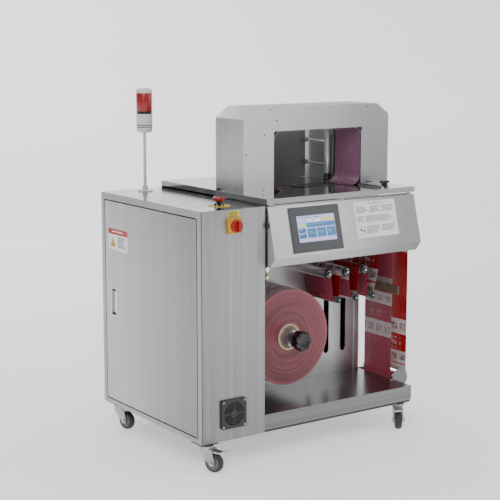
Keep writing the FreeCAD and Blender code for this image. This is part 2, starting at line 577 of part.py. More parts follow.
def on_panel(shape):
    """Lay a shape drawn with x across, y out of the face and z up the face onto the sloping face."""
    lean = math.degrees(math.atan2(size("panel_top_y - panel_knee_y"), size("panel_top - panel_knee_z")))
    shape.rotate(Vector(), Vector(1, 0, 0), -lean)
    shape.translate(Vector(0, size("panel_top_y"), size("panel_top")))
    return shape


def panel_block(left, wide, down, high, proud, deep):
    """A block on the sloping face, from so far in front of it to so far behind it."""
    corner = Vector(size(left), -size(proud), -size(down) - size(high))
    return on_panel(Part.makeBox(size(wide), size(proud) + size(deep), size(high), corner))


body_left = "hmi_x + (hmi_w - hmi_body_w) / 2"
body_down = "hmi_down + (hmi_h - hmi_body_h) / 2"
hmi_hole = fixed_shape(panel_block(body_left, "hmi_body_w", body_down, "hmi_body_h", "5", "6"))
lock_hole = rod("x", "panel_left - 1", "panel_left + sheet_t + 1", "panel_knob_y", "panel_knob_z", "4")
knuckles = [("panel_left + 29", "pivot_middle - 11"), ("pivot_middle + 11", "panel_right - 29")]
tubes = [rod("x", x_from, x_to, "pivot_y", "pivot_z", "pivot_rad + 1") for x_from, x_to in knuckles]
bores = [rod("x", x_from + " - 1", x_to + " + 1", "pivot_y", "pivot_z", "pivot_rad - 0.5 + pin_play")
         for x_from, x_to in knuckles]
keep(cut(join(panel_box, *tubes), hmi_hole, lock_hole, *bores), "control_panel")
screen_left = "hmi_x + (hmi_w - screen_w) / 2"
bezel = panel_block("hmi_x", "hmi_w", "hmi_down", "hmi_h", "hmi_proud", "0").fuse(
    panel_block(body_left, "hmi_body_w", body_down, "hmi_body_h", "0.5", "hmi_body_d"))
recess = panel_block(screen_left, "screen_w", "screen_down", "screen_h", "hmi_proud + 1", "-hmi_proud + 1.5")
keep(fixed_shape(bezel.cut(recess).removeSplitter()), "hmi_unit")
keep(join(rod("x", "panel_left - 4", "panel_left", "panel_knob_y", "panel_knob_z", "panel_knob_rad"),
          rod("x", "panel_left", "panel_left + 12", "panel_knob_y", "panel_knob_z", "3.95")),
     "panel_lock_knob")

# ---------------------------------------------------------------- reel

keep(join(rod("y", "shaft_front", "shaft_end", "reel_x", "reel_z", "shaft_rad"),
          rod("y", "film_back + 2.1", "wall_y - 1", "reel_x", "reel_z", "shaft_rad + 10")), "reel_shaft")
nose = "film_front - 22"
front_chuck = [("shaft_rad", nose), ("core_in - 10", nose), ("core_in - 2", "film_front"),
               ("core_in", "film_front + 2"), ("core_in", "film_front + 30"),
               ("shaft_rad", "film_front + 30")]
rear_chuck = [("shaft_rad", "film_back - 30"), ("core_in", "film_back - 30"), ("core_in", "film_back + 0.1"),
              ("core_in + 6", "film_back + 0.1"), ("core_in + 6", "film_back + 2"),
              ("shaft_rad", "film_back + 2")]
chucks = group(turned(front_chuck, "y"), turned(rear_chuck, "y"))
keep(chucks, "reel_chucks", "reel_x", "0", "reel_z")
keep(tube("y", "film_front", "film_back", "reel_x", "reel_z", "core_out", "core_in"), "core_tube")
keep(tube("y", "film_front", "film_back", "reel_x", "reel_z", "roll_rad", "core_out"), "film_roll")
LOBES = 7
knob_disc = rod("y", "knob_front", "knob_back", "reel_x", "reel_z", "knob_rad")
doc.recompute()
lobe_cuts = []
for i in range(LOBES):
    turn = 2 * math.pi * (i + 0.5) / LOBES
    reach = size("knob_rad") + 7
    lobe_cuts.append(rod("y", "knob_front + 4", "knob_back + 1", "reel_x + %.4f" % (reach * math.cos(turn)),
                         "reel_z + %.4f" % (reach * math.sin(turn)), "11"))
keep(cut(join(cut(knob_disc, *lobe_cuts), rod("y", "knob_back", nose + " - 0.3", "reel_x", "reel_z",
                                             "shaft_rad + 8")),
         rod("y", "shaft_front - 1", nose + " + 1", "reel_x", "reel_z", "shaft_rad + shaft_play")),
     "reel_knob")

# ---------------------------------------------------------------- rollers


def roller(label, x, z, radius):
    """A roller on its fixed shaft, as wide as the film and a little more."""
    return keep(tube("y", "roller_front", "roller_back", x, z, radius, "roller_bore + roller_play"), label)


WORDS = ["one", "two", "three"]
for word, x in zip(WORDS, UPPERS):
    roller("upper_roller_" + word, x, "upper_z", "roller_rad")
for word, x in zip(WORDS, DANCERS):
    keep(tube("y", "roller_front + 4", "roller_back - 2", x, "dancer_z", "dancer_rad - 1",
              "roller_bore + roller_play"), "dancer_roller_" + word)
roller("guide_roller", "guide_x", "guide_z", "guide_rad")


def shaft(x, z, radius="roller_bore"):
    """A fixed shaft that stands out of the reel wall."""
    return rod("y", "roller_front - 3", "wall_y", x, z, radius)


collars = [rod("y", "roller_front - 6", "roller_front - 0.5", x, "upper_z", "roller_bore + 3")
           for x in UPPERS]
upper_shafts = [join(shaft(x, "upper_z"), collar) for x, collar in zip(UPPERS, collars)]
guide_shafts = [shaft("guide_x", "guide_z"), shaft("guide_x", "guide_two_z", "guide_rad - 1")]
corner_bar = join(rod("y", "roller_front", "post_front - 0.2", "corner_bar_x", "corner_bar_z", "roller_rad"),
                  block("wall_right + post_size", "corner_bar_x + 8", "post_front - 0.6", "wall_y + 10",
                        "corner_bar_z - 10", "corner_bar_z + 10"))
MIDDLE_X = "(film_a_x + film_b_x) / 2"
bottom_bar = join(tube("y", "roller_front", "wall_y", MIDDLE_X, "bottom_bar_z", "bottom_bar_rad",
                       "bottom_bar_rad - 4"),
                  rod("y", "roller_front", "roller_front + 3", MIDDLE_X, "bottom_bar_z",
                      "bottom_bar_rad - 1"),
                  block("tray_right", MIDDLE_X, "wall_y - 1", "wall_y + 8", "bottom_bar_z - 18",
                        "tray_top"),
                  rod("y", "wall_y - 1", "wall_y + 8", MIDDLE_X, "bottom_bar_z", "bottom_bar_rad"))
top_bar = join(rod("y", "roller_front", "wall_y", "top_bar_x", "top_bar_z", "roller_rad"),
               block("tray_right", "top_bar_x + 10", "wall_y", "wall_y + 8", "top_bar_z - 16",
                     "top_bar_z + 16"))
feed_bar = rod("y", "roller_front", "wall_y", "feed_bar_x", "top_bar_z", "roller_rad")
arm = block("wall_right + post_size", "wall_right + post_size + 6", "arm_front", "wall_y + 12", "arm_z - 15",
            "arm_z + 15")
sensor = rod("x", "cab_w", "cab_w + 44", "sensor_y", "sensor_z", "6")
keep(group(*upper_shafts, *guide_shafts, corner_bar, bottom_bar, top_bar, feed_bar, arm, sensor),
     "guide_bars")


def teardrop(x):
    """A dancer's front arm: a round cheek with a tail that rises to the left."""
    tip_x, tip_z = size(x) - 17, size("dancer_z") + 12
    centre = Vector(size(x), size("roller_front") - 2, size("dancer_z"))
    cheek = Part.makeCylinder(12, 4.5, centre, Vector(0, 1, 0))
    tail = Part.makeCylinder(4, 4.5, Vector(tip_x, centre.y, tip_z), Vector(0, 1, 0))
    wedge = Part.Face(Part.makePolygon([
        Vector(centre.x - 6.2, centre.y, centre.z - 10.2), Vector(tip_x - 2.2, centre.y, tip_z - 3.3),
        Vector(tip_x + 2.4, centre.y, tip_z + 3.2), Vector(centre.x + 6.2, centre.y, centre.z + 10.2),
        Vector(centre.x - 6.2, centre.y, centre.z - 10.2)])).extrude(Vector(0, 4.5, 0))
    return cheek.fuse([tail, wedge]).removeSplitter()


doc.recompute()
behind = "wall_y + wall_t + 2"
carriage = [block("dancer_one_x - 16", "dancer_three_x + 16", behind, behind + " + 10",
                  "dancer_z - carriage_bar / 2", "dancer_z + carriage_bar / 2")]
for x in DANCERS:
    carriage.append(rod("y", "roller_front - 4", behind + " + 2", x, "dancer_z", "roller_bore"))
    carriage.append(fixed_shape(teardrop(x)))
keep(join(*carriage), "dancer_carriage")

# ---------------------------------------------------------------- film


def ribbon(stops, front, back):
    """A strip of film that runs past round stops (x, z, radius, side) and is drawn tight.

    side is +1 where the film turns left round the stop, -1 where it turns right, and a stop of
    radius 0 is an end or a fold line. The first and last stops must have radius 0.
    """
    half = size("film_t") / 2
    normals = []
    for (ax, az, ar, aside), (bx, bz, br, bside) in zip(stops, stops[1:]):
        run = math.hypot(bx - ax, bz - az)
        heading = math.atan2(bz - az, bx - ax) - math.asin((bside * br - aside * ar) / run)
        normals.append((-math.sin(heading), math.cos(heading)))

    def side_edges(shift):
        edges = []
        for i, (nx, nz) in enumerate(normals):
            ends = [Vector(x - (side * r - shift) * nx, 0, z - (side * r - shift) * nz)
                    for x, z, r, side in (stops[i], stops[i + 1])]
            if i:
                x, z, r, side = stops[i]
                before = edges[-1][1]
                mx, mz = normals[i - 1][0] + nx, normals[i - 1][1] + nz
                long = math.hypot(mx, mz)
                reach = side * r - shift
                turned_left = normals[i - 1][0] * nz - normals[i - 1][1] * nx
                flip = -1 if turned_left * side < 0 else 1
                middle = Vector(x - flip * reach * mx / long, 0, z - flip * reach * mz / long)
                edges.append((before, ends[0], middle))
            edges.append((ends[0], ends[1], None))
        return edges

    left, right = side_edges(half), side_edges(-half)
    wire = [Part.Arc(a, m, b).toShape() if m else Part.LineSegment(a, b).toShape() for a, b, m in left]
    wire.append(Part.LineSegment(left[-1][1], right[-1][1]).toShape())
    wire += [Part.Arc(b, m, a).toShape() if m else Part.LineSegment(b, a).toShape()
             for a, b, m in reversed(right)]
    wire.append(Part.LineSegment(right[0][0], left[0][0]).toShape())
    face = Part.Face(Part.Wire(Part.__sortEdges__(wire)))
    strip = face.extrude(Vector(0, back - front, 0))
    strip.translate(Vector(0, front, 0))
    return strip


def tangent(first, second, lead=2.0):
    """The two ends of the tight strip between two stops, each a lead away from its stop."""
    (ax, az, ar, aside), (bx, bz, br, bside) = first, second
    run = math.hypot(bx - ax, bz - az)
    heading = math.atan2(bz - az, bx - ax) - math.asin((bside * br - aside * ar) / run)
    nx, nz = -math.sin(heading), math.cos(heading)
    out_x, out_z = lead * nz, -lead * nx
    return ((ax - aside * ar * nx + out_x, az - aside * ar * nz + out_z),
            (bx - bside * br * nx - out_x, bz - bside * br * nz - out_z))


lift = size("film_gap + film_t / 2")
front, back = size("film_front"), size("film_back")
stop = {"roll": (size("reel_x"), size("reel_z"), size("roll_rad") + lift, -1),
        "guide_one": (size("guide_x"), size("guide_z"), size("guide_rad") + lift, 1),
        "guide_two": (size("guide_x"), size("guide_two_z"), size("guide_rad - 1") + lift, -1),
        "corner": (size("corner_bar_x"), size("corner_bar_z"), size("roller_rad") + lift, -1)}
for word, x in zip(WORDS, UPPERS):
    stop["upper_" + word] = (size(x), size("upper_z"), size("roller_rad") + lift, -1)
for word, x in zip(WORDS, DANCERS):
    stop["dancer_" + word] = (size(x), size("dancer_z"), size("dancer_rad - 1") + lift, 1)
ZIGZAG = ["upper_one", "dancer_one", "upper_two", "dancer_two", "upper_three", "dancer_three", "corner"]


def point_stop(spot):
    """A free end of a strip."""
    return (spot[0], spot[1], 0.0, 1)


web = []
leave, meet = tangent(stop["roll"], stop["guide_one"])
drop, reach = tangent(stop["upper_one"], stop["dancer_one"])
web.append(ribbon([point_stop(leave), stop["guide_one"], stop["guide_two"], stop["upper_one"],
                   point_stop(drop)], front, back))
strands = [ribbon([point_stop(drop), point_stop(reach)], front, back)]
for before, here, after in zip(ZIGZAG, ZIGZAG[1:], ZIGZAG[2:]):
    arrive = tangent(stop[before], stop[here])[1]
    leave, meet = tangent(stop[here], stop[after])
    strands.append(ribbon([point_stop(leave), point_stop(meet)], front, back))
    if here.startswith("upper"):
        web.append(ribbon([point_stop(arrive), stop[here], point_stop(leave)], front, back))
meet = tangent(stop["dancer_three"], stop["corner"])[1]
bottom_radius = size("bottom_bar_rad") + lift
middle_x = size("(film_a_x + film_b_x) / 2")
tail_end = (size("feed_bar_x"), size("top_bar_z + roller_rad") + lift)
web.append(ribbon([point_stop(meet), stop["corner"],
                   (middle_x, size("bottom_bar_z"), bottom_radius, 1),
                   (size("top_bar_x"), size("top_bar_z"), size("roller_rad") + lift, 1),
                   point_stop(tail_end)], front, back))
band_in = 0.8
left_x, right_x = size("track_left") + band_in, size("track_right") - band_in
top_z, foot_z = size("track_top") - band_in, size("table_top") + 1
bend = size("track_round") - band_in
web.append(ribbon([(left_x + bend + 8, foot_z, 0.0, -1), (left_x + bend, foot_z + bend, bend, -1),
                   (left_x + bend, top_z - bend, bend, -1), (right_x - bend, top_z - bend, bend, -1),
                   (right_x - bend, foot_z + bend, bend, -1), (right_x - bend - 8, foot_z, 0.0, -1)],
                  front, back))
keep(fixed_shape(Part.makeCompound(web)), "film_web")
keep(fixed_shape(Part.makeCompound(strands)), "film_strands")

# ---------------------------------------------------------------- sealing head under the table

head_top = "table_top - sheet_t - head_gap"
head_body = block(HEAD_X + " - head_w / 2", HEAD_X + " + head_w / 2", HEAD_Y + " - head_d / 2",
                  HEAD_Y + " + head_d / 2", head_top + " - head_h", head_top + " - 6")
blade_bar = block(HEAD_X + " - 4", HEAD_X + " + 4", HEAD_Y + " - head_d / 2", HEAD_Y + " + head_d / 2",
                  head_top + " - 7", head_top)
pin_ways = [rod("z", head_top + " - head_h - 1", head_top, "%s + %g" % (HEAD_X, x), HEAD_Y, "5 + pin_play")
            for x in (-48, 48)]
keep(cut(join(head_body, blade_bar), *pin_ways), "seal_head")

# ---------------------------------------------------------------- casters


PEDAL_X = 23
PEDAL_Z = size("-plate_thick") - 16.6


def caster_fork():
    """A swivel fork about its kingpin: raceway, two legs that trail back and the axle."""
    high, low = size("-plate_thick - 0.3"), size("axle_z")
    reach, half = size("caster_offset"), size("wheel_wide / 2 + fork_gap")
    raceway = Part.makeCylinder(size("raceway_rad"), 9, Vector(0, 0, high - 9))
    shoulder = Part.makeBox(44, 2 * half + 2 * size("fork_thick"), 3,
                            Vector(-16, -half - size("fork_thick"), high - 12))
    legs = []
    for side in (-1, 1):
        y = half if side > 0 else -half - size("fork_thick")
        outline = [Vector(-16, y, high - 9), Vector(28, y, high - 9), Vector(reach + 10, y, low + 8),
                   Vector(reach + 10, y, low - 6), Vector(reach + 4, y, low - 10),
                   Vector(reach - 6, y, low - 9), Vector(-12, y, high - 26), Vector(-16, y, high - 9)]
        legs.append(Part.Face(Part.makePolygon(outline)).extrude(Vector(0, size("fork_thick"), 0)))
    grip_long = 2 * half + 2 * size("fork_thick") + 8
    axle = Part.makeCylinder(size("axle_rad"), grip_long, Vector(reach, -grip_long / 2, low), Vector(0, 1, 0))
    heads = [Part.makeCylinder(7, 4, Vector(reach, y, low), Vector(0, 1, 0))
             for y in (-grip_long / 2, grip_long / 2 - 4)]
    pedal_hole = Part.makeCylinder(2 + size("pin_play"), 60, Vector(PEDAL_X, -30, PEDAL_Z), Vector(0, 1, 0))
    return raceway.fuse([shoulder, axle] + legs + heads).cut(pedal_hole).removeSplitter()


def caster_wheel():
    """A wheel with a rounded tread, a dished web and a hub bored for the axle."""
    radius, half = size("wheel_rad"), size("wheel_wide / 2")
    hole = size("axle_rad + pin_play")
    corners = [(hole, -half - 1), (9, -half - 1), (9, -half + 3), (radius - 9, -half + 3),
               (radius - 7, -half), (radius - 4, -half), (radius, -half + 5), (radius, half - 5),
               (radius - 4, half), (radius - 7, half), (radius - 9, half - 3), (9, half - 3),
               (9, half + 1), (hole, half + 1)]
    centre = Vector(size("caster_offset"), 0, size("axle_z"))
    points = [centre + Vector(r, y, 0) for r, y in corners]
    return Part.Face(Part.makePolygon(points + points[:1])).revolve(centre, Vector(0, 1, 0), 360)


def brake_pedal():
    """A tread lever on a pin between the fork's legs; it stands out over the wheel."""
    reach, half = size("caster_offset"), size("wheel_wide / 2 + fork_gap")
    outline = [(18, PEDAL_Z - 3), (reach + 27, PEDAL_Z - 3), (reach + 46, PEDAL_Z + 5),
               (reach + 44, PEDAL_Z + 9), (reach + 27, PEDAL_Z + 1), (27, PEDAL_Z + 3), (18, PEDAL_Z + 3)]
    points = [Vector(x, 0.5 - half, z) for x, z in outline]
    lever = Part.Face(Part.makePolygon(points + points[:1])).extrude(Vector(0, 2 * half - 1, 0))
    long = 2 * half + 2 * size("fork_thick")
    pin = Part.makeCylinder(2, long, Vector(PEDAL_X, -long / 2, PEDAL_Z), Vector(0, 1, 0))
    return lever.fuse(pin)


for name, (x, y, turn) in CASTERS.items():
    made = [("caster_fork_", caster_fork()), ("caster_wheel_", caster_wheel())]
    if name.startswith("front"):
        made.append(("brake_pedal_", brake_pedal()))
    for stem, shape in made:
        item = fixed_shape(shape)
        item.Placement = FreeCAD.Placement(Vector(), FreeCAD.Rotation(Vector(0, 0, 1), turn))
        keep(item, stem + name, x, y)

# ---------------------------------------------------------------- origin, checks and files

doc.recompute()
whole = Part.makeCompound([item.Shape for item in parts.values()]).BoundBox
shifts = {"origin_x": -whole.Center.x, "origin_y": -whole.Center.y, "origin_z": size("caster_high")}
for row, (name, amount) in enumerate(SIZES, start=1):
    if name in shifts:
        sheet.set("B%d" % row, "%.3f" % shifts[name])
doc.recompute()

for item in doc.Objects:
    if "Invalid" in item.State or "Error" in item.State:
        raise RuntimeError("%s (%s) did not build" % (item.Name, item.Label))
os.makedirs("parts", exist_ok=True)
for label, item in parts.items():
    if item.Shape.isNull() or not item.Shape.isValid() or not item.Shape.Solids:
        raise RuntimeError(label + " has no valid solid")
for label, item in parts.items():
    item.Shape.exportStep("parts/%s.step" % label)
box = Part.makeCompound([item.Shape for item in parts.values()]).BoundBox
print("%d sub-parts, %.1f x %.1f x %.1f mm, origin %s" % (
    len(parts), box.XLength, box.YLength, box.ZLength, shifts))
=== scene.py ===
import json
import logging
import math
import random
from dataclasses import dataclass
from enum import Enum
from typing import Callable, Iterable, Sequence

import bmesh
import bpy
from mathutils import Matrix, Vector


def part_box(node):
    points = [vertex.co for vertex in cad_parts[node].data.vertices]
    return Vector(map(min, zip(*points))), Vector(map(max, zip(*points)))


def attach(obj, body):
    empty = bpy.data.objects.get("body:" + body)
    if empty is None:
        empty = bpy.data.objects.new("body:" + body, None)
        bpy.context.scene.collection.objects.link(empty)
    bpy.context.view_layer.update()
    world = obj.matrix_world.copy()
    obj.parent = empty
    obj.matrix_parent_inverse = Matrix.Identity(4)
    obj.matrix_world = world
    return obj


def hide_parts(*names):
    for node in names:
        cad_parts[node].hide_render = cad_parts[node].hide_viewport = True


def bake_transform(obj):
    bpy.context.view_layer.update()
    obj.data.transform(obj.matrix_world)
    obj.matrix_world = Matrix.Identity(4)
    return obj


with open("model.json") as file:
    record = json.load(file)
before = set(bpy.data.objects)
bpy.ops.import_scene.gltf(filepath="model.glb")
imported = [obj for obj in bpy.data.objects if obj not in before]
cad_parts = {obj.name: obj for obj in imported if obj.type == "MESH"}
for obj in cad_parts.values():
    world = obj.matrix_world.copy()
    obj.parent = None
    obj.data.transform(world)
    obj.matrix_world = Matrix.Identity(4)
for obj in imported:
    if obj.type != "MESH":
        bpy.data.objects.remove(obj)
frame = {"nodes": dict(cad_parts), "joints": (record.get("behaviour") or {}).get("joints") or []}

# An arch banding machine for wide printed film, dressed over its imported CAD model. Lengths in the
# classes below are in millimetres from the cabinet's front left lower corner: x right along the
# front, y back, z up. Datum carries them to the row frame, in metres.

LOG = logging.getLogger("scene")
MM = 0.001
Colour = tuple[float, float, float]
Point = tuple[float, float]
Socket = bpy.types.NodeSocket

# What several classes share: the film's edges, the axes that it turns on (as x and z), the rollers'
# radii and the table's height.
FILM_FRONT, FILM_BACK = 145.0, 295.0
REEL_AXIS, ROLL_RADIUS = (451.0, 267.0), 167.0
GUIDE_AXIS, GUIDE_BAR = (350.0, 489.0), (350.0, 516.0)
NUMBERS = ("one", "two", "three")
UPPER_X, UPPER_Z, UPPER_RADIUS = (615.0, 694.0, 777.0), 471.0, 16.0
DANCER_X, DANCER_Z, DANCER_RADIUS = (657.0, 735.0, 813.0), 375.0, 11.5
CORNER_BAR, BOTTOM_BAR = (899.0, 600.0), (951.5, 48.0)
TOP_BAR, FEED_BAR, BAR_RADIUS = (972.0, 690.0), (790.0, 690.0), 16.0
TABLE_TOP = 775.0
WELD = 1e-7


class Along(Enum):
    """An axis of the row frame."""

    X = 0
    Y = 1
    Z = 2


@dataclass(frozen=True)
class Datum:
    """Where the machine's own measurements start in the row frame.

    Args:
        corner: The cabinet's front left lower corner, in metres.
    """

    corner: Vector

    @classmethod
    def of_cabinet(cls) -> "Datum":
        """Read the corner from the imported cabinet."""
        top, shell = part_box("cabinet_top")[0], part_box("cabinet_shell")[0]
        return cls(Vector((top.x, top.y, shell.z)))

    def at(self, x: float, y: float, z: float) -> Vector:
        """Carry a point in millimetres to the row frame."""
        return self.corner + Vector((x, y, z)) * MM


DATUM = Datum.of_cabinet()


# ------------------------------------------------------------------ node graphs


class Graph:
    """A material's node graph, built call by call.

    Args:
        name: The material's name.
    """

    def __init__(self, name: str) -> None:
        """Start an empty material with its shader and output."""
        self.material = bpy.data.materials.new(name)
        self.material.use_nodes = True
        self.tree = self.material.node_tree
        self.tree.nodes.clear()
        self.shader = self.node("ShaderNodeBsdfPrincipled")
        output = self.node("ShaderNodeOutputMaterial")
        self.tree.links.new(self.shader.outputs["BSDF"], output.inputs["Surface"])

    def node(self, kind: str, **settings: object) -> bpy.types.Node:
        """Add a node and set its properties."""
        made = self.tree.nodes.new(kind)
        for key, value in settings.items():
            setattr(made, key, value)
        return made

    def put(self, socket: Socket, value: object) -> None:
        """Link a socket to another, or set it to a constant."""
        if isinstance(value, bpy.types.NodeSocket):
            self.tree.links.new(value, socket)
        elif isinstance(value, tuple) and len(value) == 3 and socket.type == "RGBA":
            socket.default_value = (*value, 1.0)
        else:
            socket.default_value = value

    def set(self, **inputs: object) -> bpy.types.Material:
        """Set the shader's inputs, with an underscore for each space.

        Args:
            **inputs: Sockets or constants by input name.

        Returns:
            The material.
        """
        for key, value in inputs.items():
            self.put(self.shader.inputs[key.replace("_", " ")], value)
        return self.material

    def place(self, scale: Sequence[float] = (1, 1, 1), shift: Sequence[float] = (0, 0, 0),
              source: str = "Object") -> Socket:
        """Coordinates, scaled and shifted.

        Args:
            scale: Factor for each axis.
            shift: Distance added after scaling.
            source: The texture coordinate's output to use.

        Returns:
            The coordinates' socket.
        """
        mapping = self.node("ShaderNodeMapping")
        self.put(mapping.inputs["Vector"], self.node("ShaderNodeTexCoord").outputs[source])
        mapping.inputs["Scale"].default_value = scale
        mapping.inputs["Location"].default_value = shift
        return mapping.outputs["Vector"]

    def noise(self, place: Socket, scale: float = 1.0, detail: float = 2.0, rough: float = 0.5) -> Socket:
        """Noise from 0 to 1 over the given coordinates."""
        made = self.node("ShaderNodeTexNoise")
        self.put(made.inputs["Vector"], place)
        made.inputs["Scale"].default_value = scale
        made.inputs["Detail"].default_value = detail
        made.inputs["Roughness"].default_value = rough
        return made.outputs["Fac"]

    def step(self, operation: str, first: object, second: object = 0.0, third: object = 0.0,
             clamp: bool = False) -> Socket:
        """One step of arithmetic on sockets or numbers."""
        made = self.node("ShaderNodeMath", operation=operation, use_clamp=clamp)
        for socket, value in zip(made.inputs, (first, second, third)):
            self.put(socket, value)
        return made.outputs[0]

    def times(self, first: object, second: object) -> Socket:
        """The product of two sockets or numbers."""
        return self.step("MULTIPLY", first, second)

    def plus(self, first: object, second: object, clamp: bool = False) -> Socket:
        """The sum of two sockets or numbers."""
        return self.step("ADD", first, second, clamp=clamp)

    def spread(self, value: Socket, low: float, high: float, start: float = 0.0, end: float = 1.0) -> Socket:
        """Carry a value from one span to another, smoothly and clamped."""
        made = self.node("ShaderNodeMapRange", interpolation_type="SMOOTHSTEP")
        for key, number in (("From Min", start), ("From Max", end), ("To Min", low), ("To Max", high)):
            made.inputs[key].default_value = number
        self.put(made.inputs["Value"], value)
        return made.outputs["Result"]

    def between(self, value: Socket, low: float, high: float) -> Socket:
        """1 where the value lies between two limits, and 0 elsewhere."""
        above = self.step("GREATER_THAN", value, low)
        return self.times(above, self.step("LESS_THAN", value, high))

    def stripes(self, value: Socket, spans: Iterable[Point]) -> Socket:
        """1 where the value lies within any of some spans, and 0 elsewhere."""
        found: object = 0.0
        for low, high in spans:
            found = self.plus(found, self.between(value, low, high), clamp=True)
        return found

    def mix(self, factor: object, first: object, second: object, how: str = "MIX") -> Socket:
        """Blend two colours."""
        made = self.node("ShaderNodeMix", data_type="RGBA", blend_type=how)
        self.put(made.inputs[0], factor)
        self.put(made.inputs[6], first)
        self.put(made.inputs[7], second)
        return made.outputs[2]

    def split(self, vector: Socket) -> tuple[Socket, Socket, Socket]:
        """A vector's three parts."""
        made = self.node("ShaderNodeSeparateXYZ")
        self.put(made.inputs[0], vector)
        return made.outputs[0], made.outputs[1], made.outputs[2]

    def tinted(self, colour: Colour, amount: Socket) -> Socket:
        """A colour made lighter or darker by a factor."""
        made = self.node("ShaderNodeVectorMath", operation="SCALE")
        made.inputs[0].default_value = colour
        self.put(made.inputs["Scale"], amount)
        return made.outputs[0]

    def bump(self, height: Socket, strength: float, distance: float, edge: float = 0.0) -> Socket:
        """A bumped normal, over edges rounded by a radius if one is given.

        Args:
            height: The relief, from 0 to 1.
            strength: How much of it shows.
            distance: Its depth in metres.
            edge: Radius of the rounded edges in metres.

        Returns:
            The normal's socket.
        """
        made = self.node("ShaderNodeBump")
        made.inputs["Strength"].default_value = strength
        made.inputs["Distance"].default_value = distance
        self.put(made.inputs["Height"], height)
        if edge:
            rounded = self.node("ShaderNodeBevel", samples=4)
            rounded.inputs["Radius"].default_value = edge
            self.put(made.inputs["Normal"], rounded.outputs["Normal"])
        return made.outputs["Normal"]


# ------------------------------------------------------------------ finishes


@dataclass(frozen=True)
class Steel:
    """Stainless sheet with a brushed or polished grain.

    Args:
        name: The material's name.
        tone: Reflected colour.
        grain: The way the brush marks run.
        rough: Mean roughness.
        streak: Share of tone that the brush marks change.
        cloud: Share of tone that broad handling marks change.
        painted_light_run: Factors on tone at the start and end of a run, with the run's axis and its two ends
            in
        metres: painted light and shade, the sheet made lighter or darker along the run as light falls on it.
        edge: Radius of folded edges in metres.
    """

    name: str
    tone: Colour = (0.70, 0.705, 0.72)
    grain: Along = Along.Z
    rough: float = 0.30
    streak: float = 0.10
    cloud: float = 0.06
    painted_light_run: tuple[Along, float, float, float, float] | None = None
    edge: float = 0.0009

    def material(self) -> bpy.types.Material:
        """Build the material."""
        graph = Graph(self.name)
        fine = [900.0] * 3
        wide = [70.0] * 3
        fine[self.grain.value], wide[self.grain.value] = 5.0, 0.7
        hair = graph.noise(graph.place(fine), detail=3.0, rough=0.6)
        band = graph.noise(graph.place(wide), detail=2.0)
        cloud = graph.noise(graph.place((2.3, 2.3, 1.7)), detail=3.0)
        factor = graph.plus(graph.spread(hair, 1 - self.streak, 1 + self.streak, 0.25, 0.75),
                            graph.spread(band, -self.streak, self.streak, 0.3, 0.7))
        factor = graph.plus(factor, graph.spread(cloud, -self.cloud, self.cloud, 0.3, 0.7))
        # Painted light and shade: the tone rises or falls along the run, standing in for how light falls on
        # the sheet.
        if self.painted_light_run:
            along, start, end, low, high = self.painted_light_run
            run = graph.split(graph.place())[along.value]
            factor = graph.times(factor, graph.spread(run, low, high, start, end))
        rough = graph.plus(graph.spread(hair, self.rough * 0.75, self.rough * 1.25, 0.2, 0.8),
                           graph.spread(cloud, -0.03, 0.03, 0.3, 0.7))
        return graph.set(Base_Color=graph.tinted(self.tone, factor), Metallic=1.0, Roughness=rough,
                         Normal=graph.bump(hair, 0.12, 0.0002, self.edge))


@dataclass(frozen=True)
class Moulded:
    """Moulded or painted material with a fine grain.

    Args:
        name: The material's name.
        colour: Base colour.
        rough: Mean roughness.
        grain: Depth of the surface grain, from 0 to 1.
        coat: Clear gloss over the colour.
        metal: How metallic it is.
        glow: Light that it gives off.
        dust: Share of the colour that dust and handling change.
    """

    name: str
    colour: Colour
    rough: float = 0.4
    grain: float = 0.15
    coat: float = 0.0
    metal: float = 0.0
    glow: float = 0.0
    dust: float = 0.08

    def material(self) -> bpy.types.Material:
        """Build the material."""
        graph = Graph(self.name)
        fine = graph.noise(graph.place(), 1600.0, 3.0, 0.6)
        broad = graph.noise(graph.place(), 22.0, 4.0, 0.6)
        factor = graph.plus(graph.spread(fine, 1 - self.dust / 2, 1 + self.dust / 2, 0.3, 0.7),
                            graph.spread(broad, -self.dust, self.dust, 0.3, 0.7))
        colour = graph.tinted(self.colour, factor)
        rough = graph.spread(broad, self.rough * 0.85, min(1.0, self.rough * 1.2), 0.25, 0.75)
        graph.set(Base_Color=colour, Roughness=rough, Metallic=self.metal, Coat_Weight=self.coat,
                  Coat_Roughness=0.08, Normal=graph.bump(fine, self.grain, 0.0003, 0.0004))
        if self.glow:
            graph.set(Emission_Color=colour, Emission_Strength=self.glow)
        return graph.material


